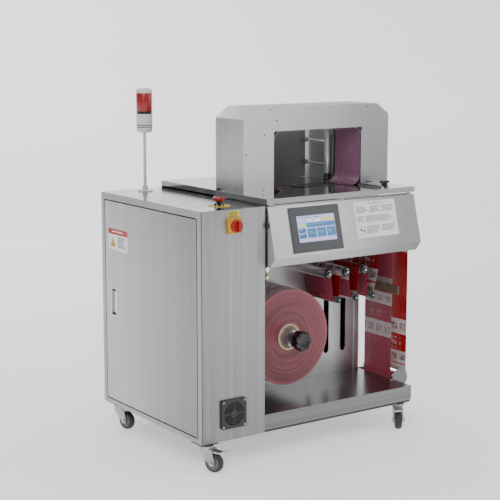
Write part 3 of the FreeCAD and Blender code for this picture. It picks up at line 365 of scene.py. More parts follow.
@dataclass(frozen=True)
class WoundFilm:
    """The side of a tightly wound roll: rings of film edges about the reel's axis.

    Args:
        name: The material's name.
        centre: The reel's centre in the row frame.
        dark: Colour of the darker rings.
        pale: Colour of the paler rings.
        inner: Radius where the rings start, in metres.
        outer: The roll's radius, in metres.
    """

    name: str
    centre: Vector
    dark: Colour
    pale: Colour
    inner: float
    outer: float

    def material(self) -> bpy.types.Material:
        """Build the material."""
        graph = Graph(self.name)
        x, _, z = graph.split(graph.place(shift=tuple(-self.centre)))
        radius = graph.step("SQRT", graph.plus(graph.times(x, x), graph.times(z, z)))
        turn = graph.step("ARCTAN2", z, x)

        def rings(pitch: float, sway: float, detail: float) -> Socket:
            """Noise that changes quickly with radius and slowly round the roll."""
            joined = graph.node("ShaderNodeCombineXYZ")
            graph.put(joined.inputs[0], graph.times(radius, 1 / pitch))
            graph.put(joined.inputs[1], graph.times(graph.step("SINE", turn), sway))
            graph.put(joined.inputs[2], graph.times(graph.step("COSINE", turn), sway))
            return graph.noise(joined.outputs[0], 1.0, detail, 0.6)

        fine, mid, broad = rings(0.0013, 0.22, 3.0), rings(0.004, 0.3, 2.0), rings(0.022, 0.45, 2.0)
        amount = graph.plus(graph.spread(fine, 0.0, 0.55, 0.3, 0.7), graph.spread(mid, 0.0, 0.45, 0.3, 0.7))
        colour = graph.mix(amount, self.dark, self.pale)
        colour = graph.mix(graph.spread(broad, 0.0, 0.55, 0.45, 0.75), colour,
                           tuple(c * 0.62 for c in self.dark))
        # Painted highlight: the outermost 14 mm of the roll's side is lightened, as where light catches its
        # edge.
        rim = graph.spread(radius, 0.0, 0.35, self.outer - 0.014, self.outer)
        colour = graph.mix(rim, colour, tuple(min(1.0, c * 1.5 + 0.05) for c in self.pale))
        slip = graph.between(graph.noise(graph.place((3, 3, 3)), 1.0, 1.0), 0.5, 1.0)
        line = graph.between(radius, self.inner + 0.036, self.inner + 0.0375)
        colour = graph.mix(graph.times(line, slip), colour, (0.85, 0.72, 0.73))
        return graph.set(Base_Color=colour, Roughness=graph.spread(mid, 0.28, 0.5, 0.3, 0.7),
                         Specular_IOR_Level=0.6, Normal=graph.bump(fine, 0.5, 0.0006))


class Side(Enum):
    """Which face of the film shows: the print or the bare inside."""

    PRINT = "print"
    INSIDE = "inside"


@dataclass(frozen=True)
class PrintedFilm:
    """Wide plastic film with a repeated generic design of bands and blocks.

    The UV map gives the distance along the film and across it, in metres. Within one repeat, BANDS are
    the pale bands, FIRST_MARKS the marks on the first one and ROWS the rows of small blocks on the
    ground. The other bands' marks stay clear of both edges by MARGIN, a share of the band's depth.
    BLOCKS is how many blocks there are in a metre along and across, and GROUPS how many groups across.

    Args:
        name: The material's name.
        side: The face that shows.
        ground: Colour between the bands.
        pale: Colour of the unprinted bands.
        mark: Colour of the marks on the pale bands.
        pitch: Length of one repeat in metres.
        start: Where the first repeat starts, in metres.
        clear: How far light passes, from 0 to 1.
    """

    name: str
    side: Side
    ground: Colour
    pale: Colour
    mark: Colour
    pitch: float = 0.475
    start: float = 0.0
    clear: float = 0.0

    BANDS = ((-1.0, 0.050), (0.056, 0.101), (0.165, 0.221))
    FIRST_MARKS = (0.016, 0.034)
    MARGIN = 0.26
    ROWS = ((0.108, 0.113), (0.122, 0.138), (0.146, 0.151))
    BLOCKS = (230.0, 420.0)
    GROUPS = 22.0

    def material(self) -> bpy.types.Material:
        """Build the material."""
        graph = Graph(self.name)
        u, v, _ = graph.split(graph.place(source="UV"))
        run = graph.step("SUBTRACT", u, self.start)
        here = graph.times(graph.step("FRACT", graph.step("DIVIDE", run, self.pitch)), self.pitch)
        bands = graph.stripes(here, self.BANDS)
        inner = [(low + (high - low) * self.MARGIN, high - (high - low) * self.MARGIN) for low,
                 high in self.BANDS[1:]]
        marks = graph.stripes(here, [self.FIRST_MARKS, *inner])
        blocks = graph.node("ShaderNodeTexWhiteNoise", noise_dimensions="2D")
        joined = graph.node("ShaderNodeCombineXYZ")
        graph.put(joined.inputs[0], graph.step("FLOOR", graph.times(here, self.BLOCKS[0])))
        graph.put(joined.inputs[1], graph.step("FLOOR", graph.times(v, self.BLOCKS[1])))
        graph.put(blocks.inputs["Vector"], joined.outputs[0])
        cell = graph.step("FRACT", graph.times(v, self.GROUPS))
        grouped = graph.times(graph.between(cell, 0.12, 0.82),
                              graph.step("GREATER_THAN", blocks.outputs["Value"], 0.42))
        ink = graph.times(grouped, marks)
        lines = graph.times(graph.times(grouped, graph.stripes(here, self.ROWS)),
                            graph.between(v, 0.03, 0.12))
        colour = graph.mix(bands, self.ground, self.pale)
        colour = graph.mix(graph.times(ink, bands), colour, self.mark)
        light = graph.times(lines, graph.step("SUBTRACT", 1.0, bands))
        colour = graph.mix(graph.times(light, 0.8 if self.side is Side.PRINT else 0.3), colour, self.pale)
        ripple = graph.noise(graph.place((3.0, 14.0, 3.0)), 1.0, 3.0)
        shade = graph.spread(ripple, 0.90, 1.08, 0.3, 0.7)
        colour = graph.mix(1.0, colour, graph.tinted((1.0, 1.0, 1.0), shade), "MULTIPLY")
        return graph.set(Base_Color=colour, Roughness=graph.spread(ripple, 0.18, 0.32, 0.3, 0.7),
                         Alpha=1.0 - self.clear * 0.5, Specular_IOR_Level=0.55,
                         Normal=graph.bump(ripple, 0.25, 0.003))


@dataclass(frozen=True)
class Screen:
    """A lit panel colour with the faint grid of a display.

    Args:
        name: The material's name.
        colour: The colour shown.
        power: How bright it is.
    """

    name: str
    colour: Colour
    power: float = 0.25

    def material(self) -> bpy.types.Material:
        """Build the material."""
        graph = Graph(self.name)
        x, _, z = graph.split(graph.place((900.0, 900.0, 900.0)))
        grid = graph.plus(graph.step("SINE", graph.times(x, 6.283)),
                          graph.step("SINE", graph.times(z, 6.283)))
        cloud = graph.noise(graph.place(), 30.0, 2.0)
        factor = graph.plus(graph.spread(grid, 0.96, 1.04, -2.0, 2.0), graph.spread(cloud, -0.05, 0.05))
        colour = graph.tinted(self.colour, factor)
        return graph.set(Base_Color=colour, Roughness=graph.spread(cloud, 0.12, 0.2), Emission_Color=colour,
                         Emission_Strength=self.power)


BLACK = Moulded("black_plastic", (0.012, 0.012, 0.014), 0.35, 0.25, 0.15)
BLACK_GLOSS = Moulded("black_gloss", (0.004, 0.004, 0.005), 0.22, 0.04, 0.25)
CHROME = Moulded("chrome", (0.82, 0.83, 0.85), 0.10, 0.02, metal=1.0, dust=0.05)
ZINC = Moulded("zinc_plate", (0.52, 0.525, 0.54), 0.30, 0.12, metal=1.0, dust=0.12)
ALUMINIUM = Moulded("satin_aluminium", (0.62, 0.62, 0.63), 0.34, 0.1, metal=1.0, dust=0.05)
WHITE = Moulded("white_plastic", (0.70, 0.70, 0.71), 0.32, 0.06, 0.2, dust=0.03)
RED = Moulded("red_plastic", (0.34, 0.003, 0.002), 0.26, 0.05, 0.3)
AMBER = Moulded("amber_plastic", (0.74, 0.36, 0.003), 0.30, 0.08, 0.2)
YELLOW = Moulded("yellow_print", (0.68, 0.55, 0.03), 0.45, 0.05)
CARD = Moulded("card_core", (0.56, 0.46, 0.30), 0.75, 0.4, dust=0.12)
INK = Moulded("grey_ink", (0.09, 0.09, 0.10), 0.6, 0.02)
PAPER = Moulded("laminated_paper", (0.88, 0.885, 0.90), 0.38, 0.04, 0.15, dust=0.03)

Finish = Steel | Moulded | WoundFilm | PrintedFilm | Screen
_made: dict[str, bpy.types.Material] = {}


def material_of(finish: Finish) -> bpy.types.Material:
    """The material of a finish, built once.

    Args:
        finish: The finish.

    Returns:
        The material.
    """
    if finish.name not in _made:
        _made[finish.name] = finish.material()
    return _made[finish.name]


def dress(node: str, finish: Finish) -> None:
    """Give a CAD node its finish."""
    mesh = frame["nodes"][node].data
    mesh.materials.clear()
    mesh.materials.append(material_of(finish))


# ------------------------------------------------------------------ mesh building


class Form:
    """Faces gathered into one mesh, each with the finish slot it takes."""

    def __init__(self) -> None:
        """Start with no faces."""
        self.points: list[Vector] = []
        self.spots: list[Point] = []
        self.faces: list[tuple[tuple[int, ...], int]] = []

    def add(self, points: Iterable[Vector], faces: Iterable[Sequence[int]], slot: int = 0,
            spots: Sequence[Point] | None = None) -> "Form":
        """Add points and the faces over them.

        Args:
            points: Points in the row frame, in metres.
            faces: Each face's corners, as places in points.
            slot: The faces' finish slot.
            spots: Each point's place on the UV map, if it has one.

        Returns:
            This form.
        """
        base = len(self.points)
        points = list(points)
        self.points += points
        self.spots += list(spots) if spots else [(0.0, 0.0)] * len(points)
        self.faces += [(tuple(base + i for i in face), slot) for face in faces]
        return self

    def block(self, low: Vector, high: Vector, slot: int = 0, lie: Matrix | None = None) -> "Form":
        """Add a box between two corners, laid by a matrix if one is given."""
        corners = [Vector((x, y, z)) for x in (low.x, high.x) for y in (low.y, high.y) for z in (low.z,
                                                                                                 high.z)]
        if lie:
            corners = [lie @ corner for corner in corners]
        return self.add(corners, [(0, 1, 3, 2), (4, 6, 7, 5), (0, 4, 5, 1), (2, 3, 7, 6), (0, 2, 6, 4),
                                  (1, 5, 7, 3)], slot)

    def turned(self, profile: Sequence[tuple[float, float, int]], centre: Vector, along: Along | Matrix,
               steps: int = 56, shape: Callable[[float, float], float] | None = None) -> "Form":
        """Add a turned shape.

        Args:
            profile: Radius, height and slot of each ring, in millimetres; the slot is that of the
                wall up to the next ring.
            centre: Where height 0 is on the axis, in the row frame.
            along: The axis, or a matrix that carries local Z to it.
            steps: Facets round the axis.
            shape: Factor on the radius for a turn and a height, for flutes and lobes.

        Returns:
            This form.
        """
        points: list[Vector] = []
        for radius, height, _ in profile:
            for i in range(steps):
                turn = 2 * math.pi * i / steps
                r = radius * (shape(turn, height) if shape else 1.0) * MM
                a, b, h = r * math.cos(turn), r * math.sin(turn), height * MM
                if isinstance(along, Matrix):
                    spot = along @ Vector((a, b, h))
                else:
                    spot = Vector({Along.X: (h, a, b), Along.Y: (a, h, b), Along.Z: (a, b, h)}[along])
                points.append(centre + spot)
        base = len(self.points)
        self.add(points, ())
        for ring, (_, _, slot) in enumerate(profile[:-1]):
            for i in range(steps):
                j = (i + 1) % steps
                corners = (ring * steps + i, ring * steps + j, (ring + 1) * steps + j, (ring + 1) * steps + i)
                self.faces.append((tuple(base + c for c in corners), slot))
        return self

    def slab(self, outline: Sequence[Vector], depth: Vector, slot: int = 0) -> "Form":
        """Add a flat outline extruded by a vector."""
        count = len(outline)
        sides = [(i, (i + 1) % count, count + (i + 1) % count, count + i) for i in range(count)]
        return self.add([*outline, *[p + depth for p in outline]],
                        [tuple(range(count))[::-1], tuple(range(count, 2 * count)), *sides], slot)

    def build(self, name: str, finishes: Sequence[Finish], body: str = "machine", edge: float = 0.0,
              sharp: float = 35.0, mapped: bool = False, replaces: Sequence[str] = (),
              slot: str = "") -> bpy.types.Object:
        """Make the object and let it ride on a body.

        Args:
            name: The object's name.
            finishes: The finish of each slot.
            body: The CAD body it rides on, or "" to leave it free.
            edge: Width of a bevel on sharp edges, in millimetres.
            sharp: Angle over which an edge stays sharp, in degrees.
            mapped: Whether the points' places on the UV map are kept.
            replaces: CAD nodes that it stands for.
            slot: Not used.

        Returns:
            The object.
        """
        made = bmesh.new()
        points = [made.verts.new(point) for point in self.points]
        layer = made.loops.layers.uv.new("UVMap") if mapped else None
        places = dict(zip(points, self.spots))
        for corners, place in self.faces:
            if len(set(corners)) < 3:
                continue
            face = made.faces.new([points[i] for i in corners])
            face.material_index = place
            face.smooth = True
            if layer:
                for loop in face.loops:
                    loop[layer].uv = places[loop.vert]
        if not mapped:
            bmesh.ops.remove_doubles(made, verts=made.verts, dist=WELD)
            bmesh.ops.recalc_face_normals(made, faces=made.faces)
        mesh = bpy.data.meshes.new(name)
        made.to_mesh(mesh)
        made.free()
        mesh.set_sharp_from_angle(angle=math.radians(sharp))
        for finish in finishes:
            mesh.materials.append(material_of(finish))
        item = bpy.data.objects.new(name, mesh)
        bpy.context.scene.collection.objects.link(item)
        if edge:
            bevel = item.modifiers.new("edge", "BEVEL")
            bevel.width, bevel.segments, bevel.limit_method = edge * MM, 2, "ANGLE"
            bevel.angle_limit, bevel.harden_normals = math.radians(40), True
        if body:
            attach(item, body)
        if replaces:
            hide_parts(*replaces)
        return item


def bars(form: Form, corner: Vector, across: Vector, down: Vector, rows: int, wide: float, pitch: float,
         seed: int, slot: int, out: Vector) -> None:
    """Lay rows of short bars that stand for small print.

    Args:
        form: The form that takes them.
        corner: Upper left corner of the first row.
        across: Unit vector along a row.
        down: Unit vector from row to row.
        rows: How many rows.
        wide: Length of a row in millimetres.
        pitch: Distance between rows in millimetres.
        seed: Seed of the bars' lengths.
        slot: Their finish slot.
        out: Lift off the sheet.
    """
    chance = random.Random(seed)
    for row in range(rows):
        spot = 0.0
        end = wide * chance.uniform(0.72, 1.0)
        while spot < end - pitch:
            length = min(chance.uniform(1.4, 4.5) * pitch, end - spot)
            start = corner + across * spot * MM + down * row * pitch * MM + out
            sides = [start, start + across * length * MM, start + across * length * MM + down * pitch * 0.45
                     * MM, start + down * pitch * 0.45 * MM]
            form.slab(sides, out * 0.5, slot)
            spot += length + pitch * 0.5


# ------------------------------------------------------------------ studio


@dataclass
class Studio:
    """Floor, backdrop, lights and camera.

    BEHIND and AHEAD give the room's light against height, on the machine's far side and near side.

    Args:
        eye: The camera's place.
        yaw: Its turn to the right of straight back, in degrees.
        pitch: Its tilt, in degrees.
        lens: Focal length in millimetres, on a 36 mm sensor.
        shift: Shift of the picture, in picture widths.
        sensor: Width of the sensor in millimetres.
        floor_run: Where the flat floor starts and ends, from front to back, in metres.
        floor_half: Half its width in metres.
        sweep: Radius of its curve up to the wall, in metres.
        wall: The wall's height in metres.
        room: Strength of the light that comes from all round.
    """

    eye: tuple[float, float, float] = (-2157.4, -3372.7, 1305.2)
    yaw: float = 34.77
    pitch: float = -8.726
    lens: float = 93.73
    shift: Point = (0.0014, -0.0363)
    sensor: float = 36.0
    floor_run: Point = (-9.0, 4.0)
    floor_half: float = 9.0
    sweep: float = 0.9
    wall: float = 2.3
    room: float = 0.56

    BEHIND = ((0.0, 0.80), (0.10, 0.52), (0.30, 0.30), (0.60, 0.12), (1.0, 0.60))
    AHEAD = ((0.0, 0.70), (0.12, 0.95), (0.40, 1.10), (1.0, 1.0))

    def camera(self) -> None:
        """Set the camera."""
        data = bpy.data.cameras.new("camera")
        data.lens, data.sensor_width = self.lens, self.sensor
        data.shift_x, data.shift_y = self.shift
        data.clip_start, data.clip_end = 0.05, 100.0
        item = bpy.data.objects.new("camera", data)
        item.location = DATUM.at(*self.eye)
        item.rotation_euler = (math.radians(90 + self.pitch), 0.0, -math.radians(self.yaw))
        bpy.context.scene.collection.objects.link(item)
        bpy.context.scene.camera = item

    def backdrop(self) -> None:
        """Lay a pale floor that curves up into a low wall far behind."""
        near, far = self.floor_run
        bend = self.sweep
        profile = [(near, 0.0), (far, 0.0)]
        profile += [(far + bend * math.sin(a), bend - bend * math.cos(a))
                    for a in (math.radians(d) for d in range(6, 85, 6))]
        profile.append((profile[-1][0] + 0.12, self.wall))
        turn = Matrix.Rotation(-math.radians(self.yaw), 3, "Z")
        points = [turn @ Vector((x, y, z)) for y, z in profile for x in (-self.floor_half, self.floor_half)]
        faces = [(2 * i, 2 * i + 1, 2 * i + 3, 2 * i + 2) for i in range(len(profile) - 1)]
        floor = Form().add(points, faces).build("floor", [Moulded("studio_floor", (0.96, 0.96, 0.96), 0.7,
                                                                  0.0, glow=0.62, dust=0.01)], body="")

    def world(self) -> None:
        """Light the room: bright in front, mid grey low behind and dark high behind."""
        world = bpy.data.worlds.new("studio")
        world.use_nodes = True
        tree = world.node_tree
        back = tree.nodes["Background"]
        split = tree.nodes.new("ShaderNodeSeparateXYZ")
        tree.links.new(tree.nodes.new("ShaderNodeTexCoord").outputs["Generated"], split.inputs[0])
        front = tree.nodes.new("ShaderNodeMapRange")
        front.interpolation_type = "SMOOTHSTEP"
        for key, value in (("From Min", 0.25), ("From Max", -0.35)):
            front.inputs[key].default_value = value
        tree.links.new(split.outputs["Y"], front.inputs["Value"])
        ramps = []
        for stops in (self.BEHIND, self.AHEAD):
            ramp = tree.nodes.new("ShaderNodeValToRGB")
            while len(ramp.color_ramp.elements) < len(stops):
                ramp.color_ramp.elements.new(0.5)
            for element, (spot, level) in zip(ramp.color_ramp.elements, stops):
                element.position, element.color = spot, (level, level, level * 1.01, 1.0)
            tree.links.new(split.outputs["Z"], ramp.inputs["Fac"])
            ramps.append(ramp)
        mix = tree.nodes.new("ShaderNodeMix")
        mix.data_type = "RGBA"
        tree.links.new(front.outputs["Result"], mix.inputs[0])
        tree.links.new(ramps[0].outputs["Color"], mix.inputs[6])
        tree.links.new(ramps[1].outputs["Color"], mix.inputs[7])
        tree.links.new(mix.outputs[2], back.inputs["Color"])
        back.inputs["Strength"].default_value = self.room
        bpy.context.scene.world = world

    def lamp(self, name: str, place: tuple[float, float, float], aim: tuple[float, float, float], size: Point,
             power: float) -> None:
        """Hang a soft rectangular lamp.

        Args:
            name: Its name.
            place: Where it hangs, in metres.
            aim: What it points at, in metres.
            size: Its width and height in metres.
            power: Its power in watts.
        """
        data = bpy.data.lights.new(name, "AREA")
        data.shape, data.size, data.size_y, data.energy = "RECTANGLE", size[0], size[1], power
        item = bpy.data.objects.new(name, data)
        item.location = place
        item.rotation_euler = (Vector(aim) - Vector(place)).to_track_quat("-Z", "Y").to_euler()
        bpy.context.scene.collection.objects.link(item)

    def build(self) -> None:
        """Set the camera, the backdrop and the lights."""
        self.camera()
        self.backdrop()
        self.world()
        self.lamp("key", (-2.6, -2.6, 3.1), (0, 0, 0.6), (2.2, 2.2), 62)
        self.lamp("fill", (2.8, -2.6, 1.9), (0, 0, 0.6), (1.8, 2.2), 24)
        self.lamp("top", (0.2, 0.6, 3.6), (0, 0, 0.5), (2.6, 2.6), 36)
        self.lamp("floor_wash", (-1.2, 3.4, 3.0), (-1.2, 3.8, 0.0), (5.0, 1.6), 90)


# ------------------------------------------------------------------ cabinet


@dataclass
class Cabinet:
    """The electrical cabinet: brushed case, door with label and latch, dark joints.

    Args:
        label_y: Where the label starts and ends along the door.
        label_z: Its lower and upper edge.
    """

    label_y: Point = (463.0, 597.0)
    label_z: Point = (557.0, 632.0)

    def finishes(self) -> None:
        """Give the sheet-metal nodes their brushed finishes, with painted light and shade."""
        # Painted light and shade: the case darkens towards its foot, the door brightens towards its back, and
        # the case's and door's tones are set to how light falls on them.
        low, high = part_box("cabinet_shell")
        painted_light_run = (Along.Z, low.z, high.z, 0.72, 1.12)
        dress("cabinet_shell", Steel("cabinet_case", (0.40, 0.40, 0.408), streak=0.09, rough=0.34, painted_light_run=painted_light_run))
        low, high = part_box("cabinet_door")
        dress("cabinet_door", Steel("cabinet_leaf", (0.42, 0.422, 0.445), streak=0.035, rough=0.36,
                                    painted_light_run=(Along.Y, low.y, high.y, 0.74, 1.20)))
        dress("cabinet_door_frame", Steel("cabinet_rim", (0.36, 0.36, 0.37), streak=0.05, rough=0.30))
        dress("cabinet_top", Steel("cabinet_lid", (0.33, 0.33, 0.34), grain=Along.Y, streak=0.07, rough=0.17))
        dress("door_hinge_pins", ZINC)
        dress("power_unit", Moulded("switchgear", (0.32, 0.33, 0.34), 0.5))
        dress("door_latch", CHROME)

    def label(self) -> None:
        """Stick the label on the door: a red head over a triangle sign and rows of small print."""
        (near, far), (low, high) = self.label_y, self.label_z
        form = Form()
        out = Vector((-0.2 * MM, 0, 0))

        def patch(y0: float, y1: float, z0: float, z1: float, slot: int, lift: float) -> None:
            """A thin rectangle on the door's face."""
            form.block(DATUM.at(-0.15 - lift, y0, z0), DATUM.at(-lift + 0.1, y1, z1), slot)

        patch(near, far, low, high, 0, 0.05)
        patch(near, far, high - 20, high, 1, 0.12)
        base, apex = DATUM.at(-0.25, far - 12, low + 12), DATUM.at(-0.25, far - 32, low + 46)
        last = DATUM.at(-0.25, far - 52, low + 12)
        form.slab([base, apex, last], out, 2)
        form.slab([base.lerp(apex, 0.5).lerp(last, 0.5) + Vector((-0.0003, 0.004, -0.006)),
                   base.lerp(apex, 0.5).lerp(last, 0.5) + Vector((-0.0003, 0.0, 0.007)),
                   base.lerp(apex, 0.5).lerp(last, 0.5) + Vector((-0.0003, -0.004, -0.006))], out, 3)
        back = Vector((0, -1, 0))
        bars(form, DATUM.at(-0.25, near + 66, high - 28), back, Vector((0, 0, -1)), 5, 56, 7.5, 3, 3, out)
        bars(form, DATUM.at(-0.35, far - 30, high - 7), back, Vector((0, 0, -1)), 1, 80, 9.0, 5, 0, out)
        sign = Moulded("label_red", (0.50, 0.025, 0.015), 0.4, 0.02, dust=0.03)
        form.build("door_label", [PAPER, sign, Moulded("label_amber", (0.62, 0.44, 0.03), 0.4, 0.02), INK],
                   "door")

    def latch(self) -> None:
        """Frame the latch's pocket with a bright bezel."""
        low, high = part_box("door_latch")
        form = Form()
        x0, x1 = DATUM.corner.x - 1.2 * MM, DATUM.corner.x + 0.3 * MM
        y0, y1, z0, z1 = low.y - 2 * MM, high.y + 2 * MM, low.z - 7 * MM, high.z + 11 * MM
        rim = 3 * MM
        for corner, far in (((y0 - rim, z0 - rim), (y0, z1 + rim)), ((y1, z0 - rim), (y1 + rim, z1 + rim)),
                            ((y0, z0 - rim), (y1, z0)), ((y0, z1), (y1, z1 + rim))):
            form.block(Vector((x0, *corner)), Vector((x1, *far)))
        form.build("latch_bezel", [CHROME], "door", edge=0.4)

    def build(self) -> None:
        """Dress the cabinet."""
        self.finishes()
        self.label()
        self.latch()


@dataclass
class Fittings:
    """What is mounted on the cabinet: main switch, stop button, fan and signal tower.

    Args:
        switch: The switch's axis, as x and z.
        stop: The stop button's axis, as x and y.
        tower: The tower's axis, as x and y.
        lid: Height of the cabinet's lid.
    """

    switch: Point = (124.0, 700.5)
    stop: Point = (129.0, 91.0)
    tower: Point = (132.0, 566.0)
    lid: float = 753.0

    def main_switch(self) -> None:
        """Amber box with a round shroud, red turning grip and a yellow plate over it."""
        x, z = self.switch
        form = Form()
        half = 24.5
        form.block(DATUM.at(x - half, -10, z - half), DATUM.at(x + half, -0.1, z + half))
        form.turned([(23.0, -9.0, 0), (23.0, -14.2, 0), (21.8, -15.0, 0), (21.3, -15.0, 1), (21.3, -9.5, 1),
                     (5.0, -9.5, 1)], DATUM.at(x, 0, z), Along.Y)
        for dx in (-20, 20):
            for dz in (-20, 20):
                form.turned([(0.1, -10.6, 1), (1.9, -10.6, 1), (2.1, -9.5, 1)], DATUM.at(x + dx, 0, z + dz),
                            Along.Y, 16)
        form.build("switch_box", [AMBER, BLACK], edge=1.4, replaces=("switch_plate",), slot="yellow_plastic")
        knob = Form()

        def grip(turn: float, height: float) -> float:
            """Shallow finger hollows round the knob's edge."""
            return 1.0 - 0.035 * max(0.0, math.cos(turn * 8)) * (1.0 if height < -17 else 0.2)

        knob.turned([(20.8, -15.6, 0), (20.9, -19.0, 0), (20.2, -23.5, 0), (18.5, -25.5, 0), (16.0, -25.8, 0),
                     (15.0, -24.6, 1), (9.0, -24.4, 1), (0.2, -24.4, 1)], DATUM.at(x, 0, z), Along.Y, 64,
                    grip)
        knob.block(DATUM.at(x - 5, -38.5, z - 17.0), DATUM.at(x + 5, -24.2, z + 17.0))
        knob.build("switch_grip", [RED, Moulded("red_shade", (0.42, 0.02, 0.015), 0.4)], "switch", edge=1.6,
                   replaces=("switch_knob",), slot="red_plastic")
        plate = Form()
        plate.block(DATUM.at(103, -0.5, 727.5), DATUM.at(149, -0.05, 746.5))
        bars(plate, DATUM.at(107, -0.55, 743.5), Vector((1, 0, 0)), Vector((0, 0, -1)), 3, 36, 5.6, 11, 1,
             Vector((0, -0.12 * MM, 0)))
        plate.build("switch_label", [YELLOW, INK])

    def stop_button(self) -> None:
        """Red mushroom on a ribbed black collar over a yellow disc."""
        x, y = self.stop
        disc = Form()
        disc.turned([(9.0, 0.1, 0), (9.0, 0.9, 0), (36.8, 0.9, 0), (37.0, 0.1, 0)], DATUM.at(x, y, self.lid),
                    Along.Z, 72)
        disc.turned([(15.2, 0.5, 1), (15.2, 7.8, 1), (13.6, 8.8, 1), (8.6, 8.8, 1), (8.6, 0.5, 1)],
                    DATUM.at(x, y, self.lid), Along.Z, 72, lambda turn,
                    height: 1.0 + 0.03 * (1 if math.cos(turn * 12) > 0 else -1))
        disc.build("stop_disc", [YELLOW, BLACK], replaces=("estop_plate",), slot="yellow_ring")
        ribs = Form()
        for i in range(6):
            turn = 2 * math.pi * (i + 0.5) / 6
            side = Vector((math.cos(turn), math.sin(turn), 0))
            across = Vector((-side.y, side.x, 0))
            foot = DATUM.at(x, y, self.lid) + side * 14.4 * MM
            ribs.slab([foot + across * 1.6 * MM, foot - across * 1.6 * MM,
                       foot - across * 1.6 * MM + side * 2.0 * MM,
                       foot + across * 1.6 * MM + side * 2.0 * MM], Vector((0, 0, 7.2 * MM)), 0)
        ribs.build("stop_ribs", [WHITE], edge=0.3)
        cap = Form()
        cap.turned([(0.1, 1.2, 1), (8.0, 1.2, 1), (8.0, 15.4, 1), (14.0, 15.6, 0), (18.0, 18.0, 0),
                    (20.2, 21.5, 0), (20.4, 24.0, 0), (19.4, 27.0, 0), (16.5, 28.6, 0), (12.0, 28.9, 0),
                    (11.6, 28.5, 0), (0.1, 28.7, 0)], DATUM.at(x, y, self.lid), Along.Z, 72)
        cap.build("stop_cap", [RED, BLACK], "stop_button", replaces=("estop_button",), slot="red_plastic")

    def fan(self) -> None:
        """Black guard over a black rotor, with screws and a hub badge."""
        dress("fan_guard", BLACK)
        dress("fan_rotor", Moulded("fan_blade", (0.05, 0.05, 0.055), 0.4))
        low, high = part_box("fan_guard")
        form = Form()
        for x in (low.x + 0.007, high.x - 0.007):
            for z in (low.z + 0.007, high.z - 0.007):
                form.turned([(0.1, -1.6, 0), (2.0, -1.5, 0), (3.2, -0.6, 0), (3.4, 0.4, 0)],
                            Vector((x, low.y, z)), Along.Y, 20)
        centre = Vector(((low.x + high.x) / 2, low.y, (low.z + high.z) / 2))
        form.turned([(0.1, -0.7, 1), (11.0, -0.7, 1), (12.4, 0.3, 1)], centre, Along.Y, 40)
        form.build("fan_screws", [ZINC, BLACK_GLOSS])

    def signal_tower(self) -> None:
        """White base with vents and black rings, ribbed red lens and white cap."""
        x, y = self.tower
        dress("tower_pole", Moulded("tower_pole", (0.70, 0.70, 0.71), 0.25, 0.02, metal=0.2, dust=0.03))
        foot = DATUM.at(x, y, self.lid + 205)
        body = Form()
        body.turned([(0.1, 0.2, 0), (11.0, 0.2, 0), (16.5, 0.6, 0), (24.5, 3.6, 0), (27.0, 8.0, 0),
                     (28.4, 14.0, 0), (28.4, 19.0, 0), (27.4, 19.6, 1), (27.4, 21.6, 1), (28.4, 22.2, 0),
                     (28.4, 25.4, 0), (27.4, 26.0, 1), (27.4, 28.0, 1), (28.4, 28.6, 0), (28.5, 66.0, 0),
                     (27.4, 66.6, 1), (27.0, 67.8, 1), (0.1, 67.8, 1)], foot, Along.Z, 64)
        body.build("tower_base", [WHITE, BLACK], replaces=("tower_body",), slot="white_plastic")
        lens = Form()
        rings: list[tuple[float, float, int]] = [(0.1, 68.2, 1), (26.8, 68.2, 1), (27.6, 70.0, 1),
                                                 (26.4, 71.0, 1), (26.4, 72.4, 1), (27.6, 73.4, 1),
                                                 (27.6, 75.5, 1)]
        rings += [(28.4, 76.2, 0), (28.5, 137.6, 0), (27.8, 138.6, 2), (28.4, 139.2, 2), (28.3, 146.0, 2),
                  (26.4, 151.2, 2), (22.0, 153.8, 2), (0.1, 153.9, 2)]
        lens.turned(rings, foot, Along.Z, 96, lambda turn, height: 1.0
                    - (0.022 * (0.5 + 0.5 * math.cos(turn * 24)) if 76 < height < 138 else 0))
        glass = Moulded("red_lens", (0.34, 0.001, 0.004), 0.15, 0.05, 0.7, glow=0.03, dust=0.05)
        lens.build("tower_lamp", [glass, BLACK, WHITE], replaces=("tower_lens",), slot="lens_red")

    def build(self) -> None:
        """Dress the fittings."""
        self.main_switch()
        self.stop_button()
        self.fan()
        self.signal_tower()


# ------------------------------------------------------------------ casters


